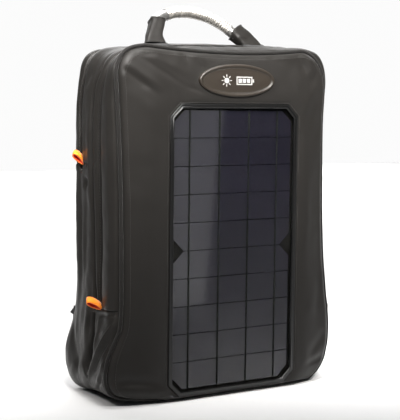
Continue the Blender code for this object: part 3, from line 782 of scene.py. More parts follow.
def chamfered(half_w, half_h, chamfer, steps=24):
    """A closed rectangle with cut corners, anticlockwise from the bottom right."""
    corners = [(half_w - chamfer, -half_h), (half_w, -half_h + chamfer), (half_w, half_h - chamfer),
               (half_w - chamfer, half_h)]
    corners += [(-x, -z) for x, z in corners]
    share = np.linspace(0, 1, steps, endpoint=False)[:, None]
    corners = np.array(corners)
    ahead = np.roll(corners, -1, axis=0)
    points = np.vstack([a + (b - a) * share for a, b in zip(corners, ahead)]) + [0, PANEL_Z]
    return np.vstack([points, points[:1]])


def front_rings():
    """Matching rings of points, as x, y and z, on the seam and on the bezel's edge."""
    outer = seam_path(np.linspace(0, RIM_LENGTH, 1400), SEAM_Y, -1.6)[:, [0, 2, 1]]
    outer[:, 1] = np.maximum(outer[:, 1], 3.6)
    inner = chamfered(BEZEL_W - 0.4, BEZEL_H - 0.4, BEZEL_C)
    outer_corners = [(140, 10, -60), (128, 386, -60), (-136, 387, -60), (-149, 10, -60)]
    half = BEZEL_C / 2
    low, high = PANEL_Z - BEZEL_H, PANEL_Z + BEZEL_H
    inner_corners = [(BEZEL_W - half, low + half), (BEZEL_W - half, high - half),
                     (-BEZEL_W + half, high - half), (-BEZEL_W + half, low + half)]
    return corner_split(outer, outer_corners), corner_split(inner, inner_corners)


def front_height(x, z, t, width):
    """How far the padded front stands forward of its seam."""
    roll = 7.0 * np.sqrt(np.clip(1 - (1 - np.clip(t * width / 8.0, 0, 1)) ** 2, 0, 1))
    padded = ease(width, 8, 42)
    crest = 1.7 * np.sin(math.pi * np.clip(t, 0, 1)) * padded
    tuck = -0.9 * np.exp(-(((1 - t) * width / 3.0) ** 2)) * padded
    folds = strokes(x, z, FRONT_FOLDS) * np.sin(math.pi * np.clip(t, 0.02, 0.98)) ** 0.3
    lumps = (0.8 * cloud(x, 0 * x, z, 40, 2.2) + 0.35 * cloud(x, 0 * x, z, 16, 6.1)) * padded
    fade = ease(t, 0, 0.06) * (1 - ease(t, 0.94, 1.0))
    return roll + 3.4 * ease(t, 0.05, 1) + crest + tuck + (folds + lumps) * fade


def front_face():
    """The padded front between its piped seam and the panel's bezel."""
    outer, inner = front_rings()
    t = np.linspace(0, 1, 64)[:, None] ** 1.2
    x = outer[None, :, 0] * (1 - t) + inner[None, :, 0] * t
    z = outer[None, :, 1] * (1 - t) + inner[None, :, 1] * t
    width = np.linalg.norm(outer[:, :2] - inner, axis=1)[None, :]
    base = outer[None, :, 2] + (SEAM_Y - outer[None, :, 2]) * ease(t, 0, 0.8)
    y = base - front_height(x, z, t, width)
    ob = grid_piece("front_face", x, y, z, NYLON, loop=True, thick=CLOTH, inner=LINING)
    planar_uv(ob)
    attach(ob, "front_cover", "nylon", "front_panel")
    row = 9
    stitch = np.stack([x[row], y[row] - 0.25, z[row]], -1)
    ob = dashes("front_seam_stitches", stitch, facing(stitch), 3.2, 2.2, 0.26, THREAD, loop=True)
    attach(ob, "front_cover", "webbing")


def planar_uv(ob, axes=(0, 2)):
    """UVs straight from two of the coordinates, in metres."""
    mesh = ob.data
    co = np.array([v.co for v in mesh.vertices])
    index = np.zeros(len(mesh.loops), int)
    mesh.loops.foreach_get("vertex_index", index)
    mesh.uv_layers[0].data.foreach_set("uv", co[index][:, list(axes)].astype(np.float32).ravel())


def piping():
    """The covered cord in the seam round the front."""
    s = np.linspace(0, RIM_LENGTH, 700, endpoint=False)
    path = seam_path(s, SEAM_Y, 0.2)
    path[:, 2] = np.maximum(path[:, 2], 2.7)
    # Its cloth is darkened as painted shade.
    cord = rod("seam_piping", path, 2.1, PIPING_PAINTED_SHADE, loop=True)
    attach(cord, "front_cover", "webbing", "front_piping")


def bezel():
    """The panel's frame: a rounded lip that steps down to the glass, with a row of stitches outside."""
    loop = chamfered(BEZEL_W, BEZEL_H, BEZEL_C, 6)[:-1]
    before = unit(loop - np.roll(loop, 1, axis=0))
    after = unit(np.roll(loop, -1, axis=0) - loop)
    out = unit(np.stack([before[:, 1] + after[:, 1], -(before[:, 0] + after[:, 0])], -1))
    out = out / np.sum(out * np.stack([after[:, 1], -after[:, 0]], -1), axis=1, keepdims=True)
    out = np.insert(out, 1, 0.0, axis=1)
    path = np.insert(loop, 1, box_mm("panel_glass")[0][1], axis=1)
    ob = sweep("bezel_frame", path, out, facing(path), BEZEL_PROFILE, FRAME_PLASTIC, loop=True)
    attach(ob, "front_cover", "black_plastic", "panel_bezel")
    line = chamfered(BEZEL_W + 2.6, BEZEL_H + 1.2, BEZEL_C + 0.8)[:-1]
    path = np.insert(line, 1, STITCH_Y, axis=1)
    ob = dashes("panel_stitches", path, facing(path), 3.0, 2.0, 0.36, THREAD, loop=True)
    attach(ob, "front_cover", "webbing")


def badge():
    """A thick oval rubber patch with a raised rim, a sunk field and a small sun and battery emblem."""
    low, high = box_mm("badge")
    (cx, cz), (rx, rz) = ((low + high) / 2)[[0, 2]], ((high - low) / 2)[[0, 2]]
    angle = np.linspace(0, 2 * math.pi, 160, endpoint=False)
    inset, depth = (np.array(column)[:, None] for column in zip(*BADGE_PROFILE))
    x = cx + (rx - inset) * np.cos(angle) * np.where(inset > 13, 0.9, 1)
    z = cz + (rz - inset) * np.sin(angle)
    x[-1] = cx + (rx - 22) * np.cos(angle)
    ob = grid_piece("badge_patch", x, depth + 0 * x, z, RUBBER, loop=True)
    reshape(ob, 1e-6, turn=False)
    planar_uv(ob)
    attach(ob, "front_cover", "badge_rubber", "badge")
    ring = np.stack([cx + (rx - 5.0) * np.cos(angle), cz + (rz - 5.0) * np.sin(angle)], -1)
    ring = np.insert(ring, 1, BADGE_STITCH_Y, axis=1)
    stitches = dashes("badge_stitches", ring, facing(ring), 2.6, 1.7, 0.3, THREAD, loop=True)
    attach(stitches, "front_cover", "webbing")
    emblem(cx, cz)


def emblem(cx, cz):
    """A sun with eight rays beside a battery outline, in raised pale rubber."""
    turn = np.linspace(0, 2 * math.pi, 28, endpoint=False)
    sun = cx - 15
    loops = [[(sun + 3.1 * math.cos(a), cz + 3.1 * math.sin(a)) for a in turn]]
    ray = ((4.4, -0.6), (6.8, -0.35), (6.8, 0.35), (4.4, 0.6))
    for a in np.arange(8) * math.pi / 4:
        loops.append([(sun + u * math.cos(a) - v * math.sin(a), cz + u * math.sin(a) + v * math.cos(a))
                      for u, v in ray])
    left, right, low, high = cx - 2, cx + 19, cz - 4.6, cz + 4.6
    wall = 1.2
    boxes = [(left, right, low, high), (left + wall, right - wall, high - wall, low + wall),
             (right + 0.5, right + 2.4, cz - 2, cz + 2)]
    for k in range(3):
        x = left + 2.6 + k * 5.6
        boxes.append((x, x + 4.2, low + 2.4, high - 2.4))
    loops += [[(x0, z0), (x1, z0), (x1, z1), (x0, z1)] for x0, x1, z0, z1 in boxes]
    curve = bpy.data.curves.new("badge_emblem", "CURVE")
    curve.dimensions = "2D"
    curve.fill_mode = "BOTH"
    curve.extrude = 0.3 * MM
    for loop in loops:
        spline = curve.splines.new("POLY")
        spline.points.add(len(loop) - 1)
        for point, (x, z) in zip(spline.points, loop):
            point.co = (x * MM, z * MM, 0, 1)
        spline.use_cyclic_u = True
    curve.materials.append(PALE_RUBBER)
    ob = link(bpy.data.objects.new("badge_emblem", curve))
    ob.matrix_world = Matrix.Translation((0, EMBLEM_Y * MM, 0)) @ Matrix.Rotation(math.pi / 2, 4, "X")
    attach(ob, "front_cover", "badge_rubber")


# Zips, sliders and pulls -------------------------------------------------------------------------

def zip_half(name, body, node, zip_y, start, end, low, high, depth, teeth):
    """One side of a zip: its tape, and the row of coil along the tape's edge."""
    s = np.linspace(start, end, 460)
    z0 = rim(s)[1]
    centre = zip_y(z0)
    y = centre + np.linspace(low, high, 6)[:, None]
    grid = np.broadcast_to(s, y.shape)
    x, y, z = skin(grid, y, 0.1 - depth(grid))
    tape = grid_piece(name + "_tape", x, y, z, TAPE, flip=True)
    attach(tape, body, "zip", node)
    path = np.stack(skin(s, centre + teeth, 0.8 - depth(s)), -1)
    row = dashes(name + "_coil", path, outward(s), 1.7, 1.25, 0.85, COIL)
    attach(row, body, "zip")


def zip_stitches(name, body, zip_y, start, end, offset, lift):
    s = np.linspace(start, end, 460)
    z0 = rim(s)[1]
    y = zip_y(z0) + offset
    path = np.stack(skin(s, y, lift(s, y) + 0.15), -1)
    ob = dashes(name, path, outward(s), 3.2, 2.2, 0.24, THREAD)
    attach(ob, body, "zip")


def zips():
    """The front zip opens the cover, so each half goes with its own body. The rear zip stays shut."""
    front = (front_zip_y, rim_distance(ZIP_END + 1), rim_distance(ZIP_END + 1, False))
    rear = (rear_zip_y, rim_distance(REAR_END), rim_distance(REAR_END, False))
    for word, body, low, high, teeth in (("cover", "front_cover", -4, -0.1, -0.85),
                                         ("body", "bag_body", 0.1, 4, 0.85)):
        node = "front_zip_chain_" + word
        zip_half("front_zip_" + word, body, node, *front, low, high, front_depth, teeth)
    zip_stitches("front_zip_stitches_cover", "front_cover", *front, -4.6, front_lift)
    zip_stitches("front_zip_stitches_body", "bag_body", *front, 4.6, body_lift)
    zip_half("rear_zip", "bag_body", "rear_zip_chain", *rear, -2.8, 2.8, rear_depth, 0.0)
    zip_stitches("rear_zip_stitches_front", "bag_body", *rear, -4.4, body_lift)
    zip_stitches("rear_zip_stitches_back", "bag_body", *rear, 4.4, body_lift)


# The outline of a slider's plates, as depth and height from its middle.
SHIELD = (
    (-3.6, 5.6), (-4.0, 3.0), (-3.4, -2.0), (-2.2, -5.0), (-1.0, -6.0), (1.0, -6.0), (2.2, -5.0),
    (3.4, -2.0), (4.0, 3.0), (3.6, 5.6), (1.6, 6.0), (0.6, 4.6), (-0.6, 4.6), (-1.6, 6.0),
)

# How far outside a slider the hinge of its pull lies.
HINGE_OUT = 1.6


def slider(name, body):
    """A zip slider: two plates joined at the nose, and a bridge for the pull, whose hinge it gives."""
    low, high = box_mm(body)
    outer = low[0]
    cy, cz = ((low + high) / 2)[1:]
    form = bmesh.new()
    for x, depth in ((outer + 3.8, -1.3), (outer + 1.2, -1.2)):
        face = form.faces.new([form.verts.new((x * MM, (cy + a) * MM, (cz + b) * MM)) for a, b in SHIELD])
        moved = bmesh.ops.extrude_face_region(form, geom=[face])
        front = [v for v in moved["geom"] if isinstance(v, bmesh.types.BMVert)]
        bmesh.ops.translate(form, verts=front, vec=Vector((depth * MM, 0, 0)))
    nose = Matrix.Translation(((outer + 1.9) * MM, cy * MM, (cz + 4.6) * MM))
    nose = nose @ Matrix.Diagonal((3.4 * MM, 1.6 * MM, 2.2 * MM, 1))
    bmesh.ops.create_cube(form, size=1, matrix=nose)
    bmesh.ops.recalc_face_normals(form, faces=form.faces)
    mesh = bpy.data.meshes.new(name)
    form.to_mesh(mesh)
    form.free()
    mesh.materials.append(SLIDER_METAL)
    ob = link(bpy.data.objects.new(name, mesh))
    rounding = ob.modifiers.new("edges", "BEVEL")
    rounding.width = 0.35 * MM
    rounding.segments = 2
    rounding.limit_method = "ANGLE"
    attach(ob, body, "slider_metal", body)
    arc = np.radians(np.linspace(0, 180, 13))
    path = [(outer - 1.9 * math.sin(a) + 0.3, cy, cz + 3.6 * math.cos(a)) for a in arc]
    bridge = rod(name + "_bridge", path, 0.75, SLIDER_METAL)
    attach(bridge, body, "slider_metal")
    return outer - HINGE_OUT, cy, cz


# How far a pull's loop is turned about its own length.
PULL_TWIST = math.radians(48)


def pull(name, body, hinge, length, rise, angle, width):
    """A loop of ribbon in a drop shape, deep red inside as painted shade, seamed at its root."""
    share = np.linspace(0, 1, 60)
    along = length * (0.5 - 0.5 * np.cos(2 * math.pi * share)) ** 0.85
    lift = -rise * np.sin(2 * math.pi * share) * (0.35 + 0.65 * np.sin(math.pi * share))
    direction = np.array([-math.cos(angle), 0, math.sin(angle)])
    flat = np.array([math.sin(angle), 0, math.cos(angle)])
    up = flat * math.cos(PULL_TWIST) - np.array([0, math.sin(PULL_TWIST), 0])
    across = flat * math.sin(PULL_TWIST) + np.array([0, math.cos(PULL_TWIST), 0])
    centre = np.array(hinge)
    path = centre + along[:, None] * direction + lift[:, None] * up
    tangent = unit(np.gradient(path, axis=0))
    out = np.cross(tangent, across)
    if np.sum((path[30] - path[0]) * out[30]) < 0:
        out = -out
    side = np.tile(across, (len(path), 1))
    half = width / 2
    # The inner layer is painted shade: the orange ribbon drawn deep red.
    for word, mat, low, high in (("", ORANGE, 0.0, 0.9), ("_inside", ORANGE_PAINTED_SHADE, -0.9, -0.02)):
        profile = ((high, -half), (high + 0.1, 0), (high, half), (low, half), (low, -half))
        ob = sweep(name + word, path, out, side, profile, mat)
        attach(ob, body, "pull_orange")
        if not word:
            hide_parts(body)
    for k, offset in enumerate((-0.25, 0.25)):
        root = centre + direction * 3.4 + side[0] * (offset * width)
        ob = rod(f"{name}_stitch_{k}", [root + up * 1.9, root - up * 1.9], 0.35, ORANGE_PAINTED_SHADE)
        attach(ob, body, "pull_orange")


# The handle --------------------------------------------------------------------------------------

# The middle of the handle's hinge, how far the handle leans back, the radius and the centre of its arch,
# and the two directions of its own plane: up, and across to the back.
HINGE = np.array([0, 1, 404.6])
HANDLE_LEAN = math.radians(30)
ARCH_R = 76.7
ARCH_X, ARCH_Z = -14.0, -36.0
IN_PLANE = np.array([0, math.sin(HANDLE_LEAN), math.cos(HANDLE_LEAN)])
ACROSS = np.array([0, math.cos(HANDLE_LEAN), -math.sin(HANDLE_LEAN)])


def arch(degrees):
    """A point of the arched tube's axis, and the directions along it and outwards."""
    a = math.radians(degrees)
    out = np.array([math.cos(a), 0, 0]) + math.sin(a) * IN_PLANE
    along = np.array([math.sin(a), 0, 0]) - math.cos(a) * IN_PLANE
    return HINGE + np.array([ARCH_X, 0, 0]) + ARCH_Z * IN_PLANE + ARCH_R * out, along, out


def arch_tube(name, start, end, rows, radius, mat, sides=40):
    """A tube along the arch whose radius is a function of (millimetres along, turn)."""
    degrees = np.linspace(start, end, rows)
    turn = np.linspace(0, 2 * math.pi, sides, endpoint=False)
    grid = []
    for d in degrees:
        centre, _, out = arch(d)
        reach = math.radians(start - d) * ARCH_R
        r = radius(reach, turn)
        grid.append(centre + r[:, None] * (np.cos(turn)[:, None] * out + np.sin(turn)[:, None] * ACROSS))
    return grid_piece(name, *np.moveaxis(np.array(grid), -1, 0), mat, loop=True)


def ribbed(reach, turn):
    """A spiral-wound foil tube: a rib every three millimetres or so, pressed out of round."""
    wander = 0.5 * cloud(np.full_like(turn, reach), 6 * np.cos(turn), 6 * np.sin(turn), 9, 4.4)
    phase = (reach / 3.0 + turn / (2 * math.pi) + 0.25 * wander) % 1.0
    rib = np.abs(phase - 0.5) * 2
    crumple = cloud(np.full_like(turn, reach * 1.3), 5 * np.cos(turn), 5 * np.sin(turn), 3.4, 9.2)
    return 6.05 + 0.75 * rib**0.7 + 0.45 * wander + 0.35 * crumple


def smooth_collar(reach, turn):
    return 6.5 + 0.12 * np.cos(2 * turn) + 0 * reach


def handle():
    tube = arch_tube("handle_ribbed_tube", 111.4, 45.6, 300, ribbed, FOIL, 48)
    attach(tube, "handle", "handle_metal", "handle_tube")
    for word, start, end, lip in (("left", 126, 111.6, 111.8), ("right", 45.4, 37, 45.2)):
        collar = arch_tube("handle_ferrule_" + word, start, end, 24, smooth_collar, COLLAR)
        attach(collar, "handle", "collar_metal", "handle_collar_" + word)
        centre, _, out = arch(lip)
        turn = np.linspace(0, 2 * math.pi, 40, endpoint=False)
        line = [centre + 6.55 * (math.cos(a) * out + math.sin(a) * ACROSS) for a in turn]
        ring = rod("handle_ring_" + word, line, 0.55, COLLAR, loop=True)
        attach(ring, "handle", "collar_metal")
    sleeve("left", LEFT_LOOP, 0.0)
    sleeve("right", RIGHT_LOOP, 3.9)


# The cloth loops from foot (0) to mouth (1) in the handle's plane: share, x, z, tilt, half width and
# half depth.
LEFT_LOOP = (
    (0, -66.6, -4.6, 0, 13.2, 4.4), (0.3, -65.9, 5, 2, 9.8, 6.0), (0.5, -62.8, 12, 0, 9.7, 7.0),
    (0.8, -57.8, 21.5, -5, 9.4, 8.2), (1, -56.2, 26.1, -7, 9.3, 8.5),
)
RIGHT_LOOP = (
    (0, 66.5, -4.6, 0, 13.2, 4.4), (0.3, 61.5, 2.2, 14, 12.4, 5.6), (0.6, 55.5, 8.2, 26, 11.6, 7.2),
    (1, 49.0, 14.3, 33, 10.9, 8.4),
)


def sleeve(word, stations, bulge):
    """A loop of cloth folded round the tube's end and sewn down to the top of the bag."""
    marks, *columns = zip(*stations)
    turn = np.linspace(0, 2 * math.pi, 80, endpoint=False)
    c, s = np.cos(turn), np.sin(turn)
    rows = []
    for t in np.linspace(0, 1, 46):
        x, z, tilt, half_wide, half_deep = (soft_table(t, marks, column) for column in columns)
        tilt = math.radians(tilt)
        wide = np.array([math.cos(tilt), 0, 0]) + math.sin(tilt) * IN_PLANE
        power = 5.5 - 2.3 * t
        size = (np.abs(c) ** power + np.abs(s) ** power) ** (-1 / power)
        crinkle = 0.4 * cloud(9 * c, 9 * s, np.full_like(c, t * 30), 7, 2.0 + bulge)
        crinkle = crinkle * np.sin(math.pi * min(t * 1.05, 1))
        centre = HINGE + np.array([x, 0, 0]) + z * IN_PLANE
        normal = np.array([-math.sin(tilt), 0, 0]) + math.cos(tilt) * IN_PLANE
        ring = centre + ((half_wide + crinkle) * size * c)[:, None] * wide
        ring = ring + ((half_deep + crinkle) * size * s)[:, None] * ACROSS
        rows.append(ring - (bulge * t**2 * np.minimum(s, 0) * size)[:, None] * normal)
    grid = np.array(rows)
    rim_ring = grid[-1]
    middle = rim_ring.mean(axis=0)
    mouth = ((0.95, -0.3), (0.88, 0.3), (0.84, 4))
    inner = [middle + (rim_ring - middle) * k - normal * step for k, step in mouth]
    grid = np.concatenate([grid, np.array(inner)])
    grid[..., 2] = np.maximum(grid[..., 2], 399.5)
    ob = grid_piece("handle_loop_" + word, *np.moveaxis(grid, -1, 0), NYLON, loop=True)
    reshape(ob)
    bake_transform(ob)
    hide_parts("handle_sleeve_" + word)
    edge = rod("handle_loop_edge_" + word, list(rim_ring), 0.75, NYLON_TRIM, loop=True)
    attach(edge, "handle", "nylon")


def soft_table(t, marks, values):
    """Straight-line steps between the marks, with the corners rounded off."""
    near = np.clip(t + np.linspace(-0.08, 0.08, 9) * min(1, 12 * t * (1 - t)), 0, 1)
    return float(np.mean(np.interp(near, marks, values)))


def patch(word):
    """The patch under a handle loop: a hemmed square."""
    low, high = box_mm("handle_patch_" + word)
    x, y = np.meshgrid(*(np.linspace(low[k], high[k], 24) for k in (0, 1)))
    across = np.clip(np.minimum(x - x.min(), x.max() - x) / 2, 0, 1)
    deep = np.clip(np.minimum(y - y.min(), y.max() - y) / 2, 0, 1)
    s = RIM_LENGTH / 2 - x
    top = skin(s, y, body_lift(s, y))[2]
    z = top + 0.4 + 1.4 * np.sqrt(across * deep) + 0.2 * cloud(x, y, 0 * x, 7, 5.0)
    ob = grid_piece("handle_base_" + word, x, y, z, WEBBING, thick=1.0)
    attach(ob, "bag_body", "webbing", "handle_patch_" + word)


# The back ----------------------------------------------------------------------------------------

# Where the leaning back's plane meets the floor.
BACK_Y = 49.6


def on_back(x, v, w):
    """A point given in the leaning back's own frame: across, outwards from the back, and up it."""
    c, s = math.cos(LEAN), math.sin(LEAN)
    return x, BACK_Y + v * c - w * s, v * s + w * c


def back_panel(x, y, z):
    """The padded back between the walls' rear edges, with raised bands beside the spine channel."""
    share = np.linspace(0, 1, 60)[:, None]
    cx, cz = 0 * x, 200 + (z - 200) * 0.55
    gx = x[None, :] * (1 - share) + cx[None, :] * share
    gz = z[None, :] * (1 - share) + cz[None, :] * share
    plane = on_back(0, 0, gz)[1]
    padding = 4.4 + 0.7 * cloud(gx, 0 * gx, gz, 45, 2.0) - 1.4 * np.exp(-((gx / 9) ** 2))
    gy = y[None, :] + (plane + padding - y[None, :]) * ease(share, 0, 0.16)
    ob = grid_piece("back_cloth", gx, gy, gz, LINING_BACK, loop=True, thick=1.0, flip=True)
    planar_uv(ob)
    attach(ob, "bag_body", "lining", "back_panel")
    row = np.stack([gx[7], gy[7] + 0.3, gz[7]], -1)[::2]
    ob = dashes("back_stitches", row, facing(row, 1.0), 3.4, 2.3, 0.28, THREAD, loop=True)
    attach(ob, "bag_body", "lining")


def cushion(name, x, w, lower, upper, mat):
    """A closed pad from matching grids of its lower and upper faces, in the back's frame."""
    top = grid_piece(name, *on_back(x, upper, w), mat, flip=True)
    under = bpy.data.meshes.new(name + "_under")
    points = np.stack(on_back(x, lower, w), -1).reshape(-1, 3) * MM
    under.from_pydata(points.tolist(), [], grid_quads(*x.shape).tolist())
    reshape(top, 0.2 * MM, other=under)
    bpy.data.meshes.remove(under)
    top.data.shade_smooth()
    planar_uv(top)
    return top


def pads():
    """Two long air-mesh pads, quilted across, with bound edges."""
    u, t = np.meshgrid(np.linspace(-1, 1, 61), np.linspace(-1, 1, 221))
    for side, word in ((-1, "left"), (1, "right")):
        corner = 1 - 0.10 * ease(np.abs(t), 0.93, 1.0) * np.abs(u) ** 2
        x = side * 50 + 34 * u * corner
        w = 187.5 + 147.5 * t * (1 - 0.012 * np.abs(u) ** 6)
        crown = (1 - np.abs(u) ** 3.2) ** 0.55 * (1 - np.abs(t) ** 14) ** 0.6
        channels = np.zeros_like(u)
        for k in range(1, 6):
            line = 40 + k * 295 / 6 + 5 * np.abs(u) ** 2
            channels += np.exp(-(((w - line) / 3.0) ** 2))
        swell = 0.5 * cloud(x, 0 * x, w, 24, 3.3)
        upper = 4.9 + (9.6 + swell) * crown - 4.6 * channels * crown
        lower = 4.9 + 0 * u
        ob = cushion("back_cushion_" + word, x, w, lower, upper, AIR_MESH)
        attach(ob, "bag_body", "back_mesh", "back_pad_" + word)
        flat = np.stack([x, w], -1)
        border = np.concatenate([flat[0], flat[1:, -1], flat[-1, -2::-1], flat[-2:0:-1, 0]])
        path = np.stack(on_back(border[:, 0], 5.3 + 0 * border[:, 0], border[:, 1]), -1)
        cord = rod("back_cushion_binding_" + word, path, 1.5, NYLON_TRIM, loop=True)
        attach(cord, "bag_body", "back_mesh")


def strap_spine(t, side):
    """The strap's middle line in the back's frame: across, outwards and up."""
    curve = 9.0 * np.sin(math.pi * t) * (1 - 0.3 * t)
    x = side * (42 + 46 * t - curve)
    w = 380 - 215 * t
    v = table(t, ((0, 8), (0.05, 16.5), (0.14, 25.5), (0.3, 29.5), (0.55, 29), (0.8, 26.5), (1.0, 24)))
    return x, v, w


def strap(side, word):
    """A padded shoulder strap: a flat oval section, bound and stitched along both edges."""
    t = np.linspace(0, 1, 150)
    spine = np.stack(on_back(*strap_spine(t, side)), -1)
    tangent = unit(np.gradient(spine, axis=0))
    wide = unit(np.cross(tangent, np.array(on_back(0, 1, 0)) - np.array(on_back(0, 0, 0))))
    deep = np.cross(wide, tangent)
    half = table(t, ((0, 27), (0.15, 29), (0.6, 29), (0.85, 25), (0.96, 17), (1, 14)))
    thick = table(t, ((0, 3.0), (0.06, 5.0), (0.5, 5.6), (0.92, 5.0), (1, 2.6)))
    turn = np.linspace(0, 2 * math.pi, 56, endpoint=False)[:, None]
    c, s = np.cos(turn), np.sin(turn)
    across = np.sign(c) * np.abs(c) ** 0.75
    through = np.sign(s) * np.abs(s) ** 0.9 * (1 - 0.35 * np.abs(across) ** 6)
    seam = 1 - 0.28 * np.exp(-(((np.abs(across) - 0.84) / 0.05) ** 2))
    ripple = 0.35 * cloud(across * 29, s * 8, 300 * t[None, :] + 0 * across, 18, 6.0 + side)
    grid = (spine[None] + (across * half[None])[..., None] * wide[None]
            + ((through * seam * (thick[None] + ripple)))[..., None] * deep[None])
    grid = np.concatenate([grid, grid[:1]])
    ob = grid_piece("strap_padded_" + word, *np.moveaxis(grid, -1, 0), STRAP_CLOTH)
    reshape(ob, 1e-6, fill=True)
    attach(ob, "bag_body", "strap_nylon", "shoulder_strap_" + word)
    for k, edge in enumerate((-1, 1)):
        path = spine + wide * (edge * (half - 0.3))[:, None]
        cord = rod(f"strap_binding_{word}_{k}", list(path), 1.7, NYLON_TRIM)
        attach(cord, "bag_body", "strap_nylon")
        line = spine + wide * (edge * half * 0.84)[:, None] + deep * ((thick * 0.6) + 0.2)[:, None]
        ob = dashes(f"strap_stitches_{word}_{k}", line, deep, 3.4, 2.3, 0.28, THREAD)
        attach(ob, "bag_body", "strap_nylon")


def ribbon(name, points, width, thickness, mat, across_hint, slot, node=None):
    """A strip of webbing along points, lying flat against the direction across_hint."""
    points = np.asarray(points, float)
    reach = travelled(points)
    at = np.linspace(0, reach[-1], 90)
    path = np.stack([table(at, list(zip(reach, points[:, k]))) for k in range(3)], -1)
    tangent = unit(np.gradient(path, axis=0))
    wide = unit(across_hint - tangent * np.sum(tangent * across_hint, axis=1, keepdims=True))
    out = np.cross(tangent, wide)
    half, rise = width / 2, thickness / 2
    profile = ((rise, -half + 0.6), (rise * 0.9, -half / 2), (rise, 0), (rise * 0.9, half / 2),
               (rise, half - 0.6), (0, half), (-rise, half - 0.6), (-rise, 0), (-rise, -half + 0.6),
               (0, -half))
    ob = sweep(name, path, out, wide, profile, mat)
    attach(ob, "bag_body", slot)
    if node:
        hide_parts(node)


def webbing_and_buckle(side, word):
    """The ladder lock at the strap's end, its webbing down to the anchor, and the hanging tail."""
    centre = np.array((side * 91.5, 24.0, 149.5))
    turned = side * math.atan2(31, 69)

    def local(u, v, w):
        x = centre[0] + u * math.cos(turned) + w * math.sin(turned)
        up = centre[2] + w * math.cos(turned) - u * math.sin(turned)
        return on_back(x, centre[1] + v, up)

    across = np.array(local(1, 0, 0)) - np.array(local(0, 0, 0))
    down = ((104, 18.5, 124), (112, 16.5, 110), (119, 14.0, 96), (128, 13.5, 86), (134, 12.5, 79))
    main = [local(0, -2.2, 11), local(0, -2.2, -6)] + [on_back(side * x, v, w) for x, v, w in down]
    ribbon("webbing_main_" + word, main, 25, 1.7, WEBBING, across, "webbing", "strap_webbing_" + word)
    tail = [local(0, -1.6, 3), local(0, 2.6, 1), local(0, 3.6, -12), local(0, 4.6, -30), local(1, 4.0, -52)]
    ribbon("webbing_tail_" + word, tail, 25, 1.7, WEBBING, across, "webbing")
    stub = [local(0, v, w) for v, w in ((-1.0, 30), (0.6, 20), (2.6, 13.5), (-1.4, 12), (-2.6, 24))]
    ribbon("webbing_stub_" + word, stub, 25, 1.6, WEBBING, across, "webbing")
    buckle(word, local)


def buckle(word, local):
    """A moulded ladder lock: two bowed side rails and three rounded bars across."""
    bow = np.sin(np.linspace(0, math.pi, 16))
    height = np.linspace(-15, 15, 16)
    for k, edge in enumerate((-1, 1)):
        points = [local(edge * (15 + 0.8 * b), 0.8 * b, w) for b, w in zip(bow, height)]
        ob = rod(f"buckle_rail_{word}_{k}", points, 2.2, BUCKLE)
        attach(ob, "bag_body", "black_plastic")
        if k == 0:
            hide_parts("ladder_lock_" + word)
    for k, (w, v, radius) in enumerate(((13.5, 0, 2.1), (1.0, 0.6, 2.0), (-12.5, 0, 2.3), (-15, 1.2, 1.4))):
        points = [local(-15 + 3 * i, v, w) for i in range(11)]
        ob = rod(f"buckle_bar_{word}_{k}", points, radius, BUCKLE)
        attach(ob, "bag_body", "black_plastic")


def anchor_tab(side, word):
    """A folded triangle of cloth sewn into the side seam, which holds the webbing's end."""
    u, t = np.meshgrid(np.linspace(0, 1, 30), np.linspace(-1, 1, 40))
    reach = (1 - u) * 25 * np.abs(t) ** 1.2
    w = 74 + np.sign(t) * reach + t * 8 * u
    x = side * (146.5 - 20 * u)
    v = 1.5 + 15.5 * u**0.8 - 2.0 * (1 - u) * np.abs(t)
    thick = 1.5 + 0.5 * np.cos(t * 1.4)
    swell = 0.3 * cloud(x, 0 * x, w, 9, 4.0 + side)
    edge = np.minimum(np.minimum(u, 1 - u) * 12, (1 - np.abs(t)) * 12)
    body = np.clip(edge, 0, 1) ** 0.5
    ob = cushion("anchor_tab_" + word, x, w, v - thick * body, v + (thick + swell) * body, NYLON_TRIM)
    attach(ob, "bag_body", "webbing", "strap_anchor_" + word)


def straps():
    for side, word in ((-1, "left"), (1, "right")):
        strap(side, word)
        webbing_and_buckle(side, word)
        anchor_tab(side, word)


# Inside ------------------------------------------------------------------------------------------

def soft_sheet(name, node, body, offset, seed):
    """A slack cloth face just in front of and behind a flat CAD sheet, filling the same outline."""
    low, high = box_mm(node)
    outline = seam_path(np.linspace(0, RIM_LENGTH, 500, endpoint=False), SEAM_Y, -3.0)
    edge_x, edge_z = (np.clip(outline[:, k], low[k], high[k])[None, :] for k in (0, 2))
    share = np.linspace(0, 1, 46)[:, None]
    cy, cz = ((low + high) / 2)[1:]
    x = edge_x * (1 - share)
    z = edge_z * (1 - share) + (cz + (edge_z - cz) * 0.4) * share
    y = cy + offset * cloud(x, 0 * x, z, 38, seed) * ease(share, 0, 0.2)
    ob = grid_piece(name, x, y, z, LINING, loop=True, thick=1.1)
    planar_uv(ob)
    attach(ob, body, "lining", node)


def inner_pocket():
    """A gathered pocket with an elastic hem, which holds the battery and the controller."""
    low, high = box_mm("inner_pocket")
    u, t = np.meshgrid(np.linspace(-1, 1, 150), np.linspace(0, 1, 60))
    depth = high[1] - low[1]
    x = (low[0] + high[0]) / 2 + (high[0] - low[0]) / 2 * u
    z = low[2] + (high[2] - low[2]) * t
    gather = 0.8 * np.sin(u * 46 + 2 * np.sin(u * 7)) * ease(t, 0.6, 1.0)
    y = low[1] + depth * ((1 - np.abs(u) ** 6) * (1 - (1 - np.clip(t * 3, 0, 1)) ** 3)) ** 0.5
    y = y + (gather + 0.8 * cloud(x, 0 * x, z, 22, 7.0)) * (1 - np.abs(u) ** 8) - 1.5
    ob = grid_piece("pocket_cloth", x, y, z, LINING, thick=1.0, flip=True)
    planar_uv(ob)
    attach(ob, "front_cover", "lining", "inner_pocket")
    hem = rod("pocket_hem", np.stack([x[-1], y[-1], z[-1]], -1), 1.4, WEBBING)
    attach(hem, "front_cover", "lining")


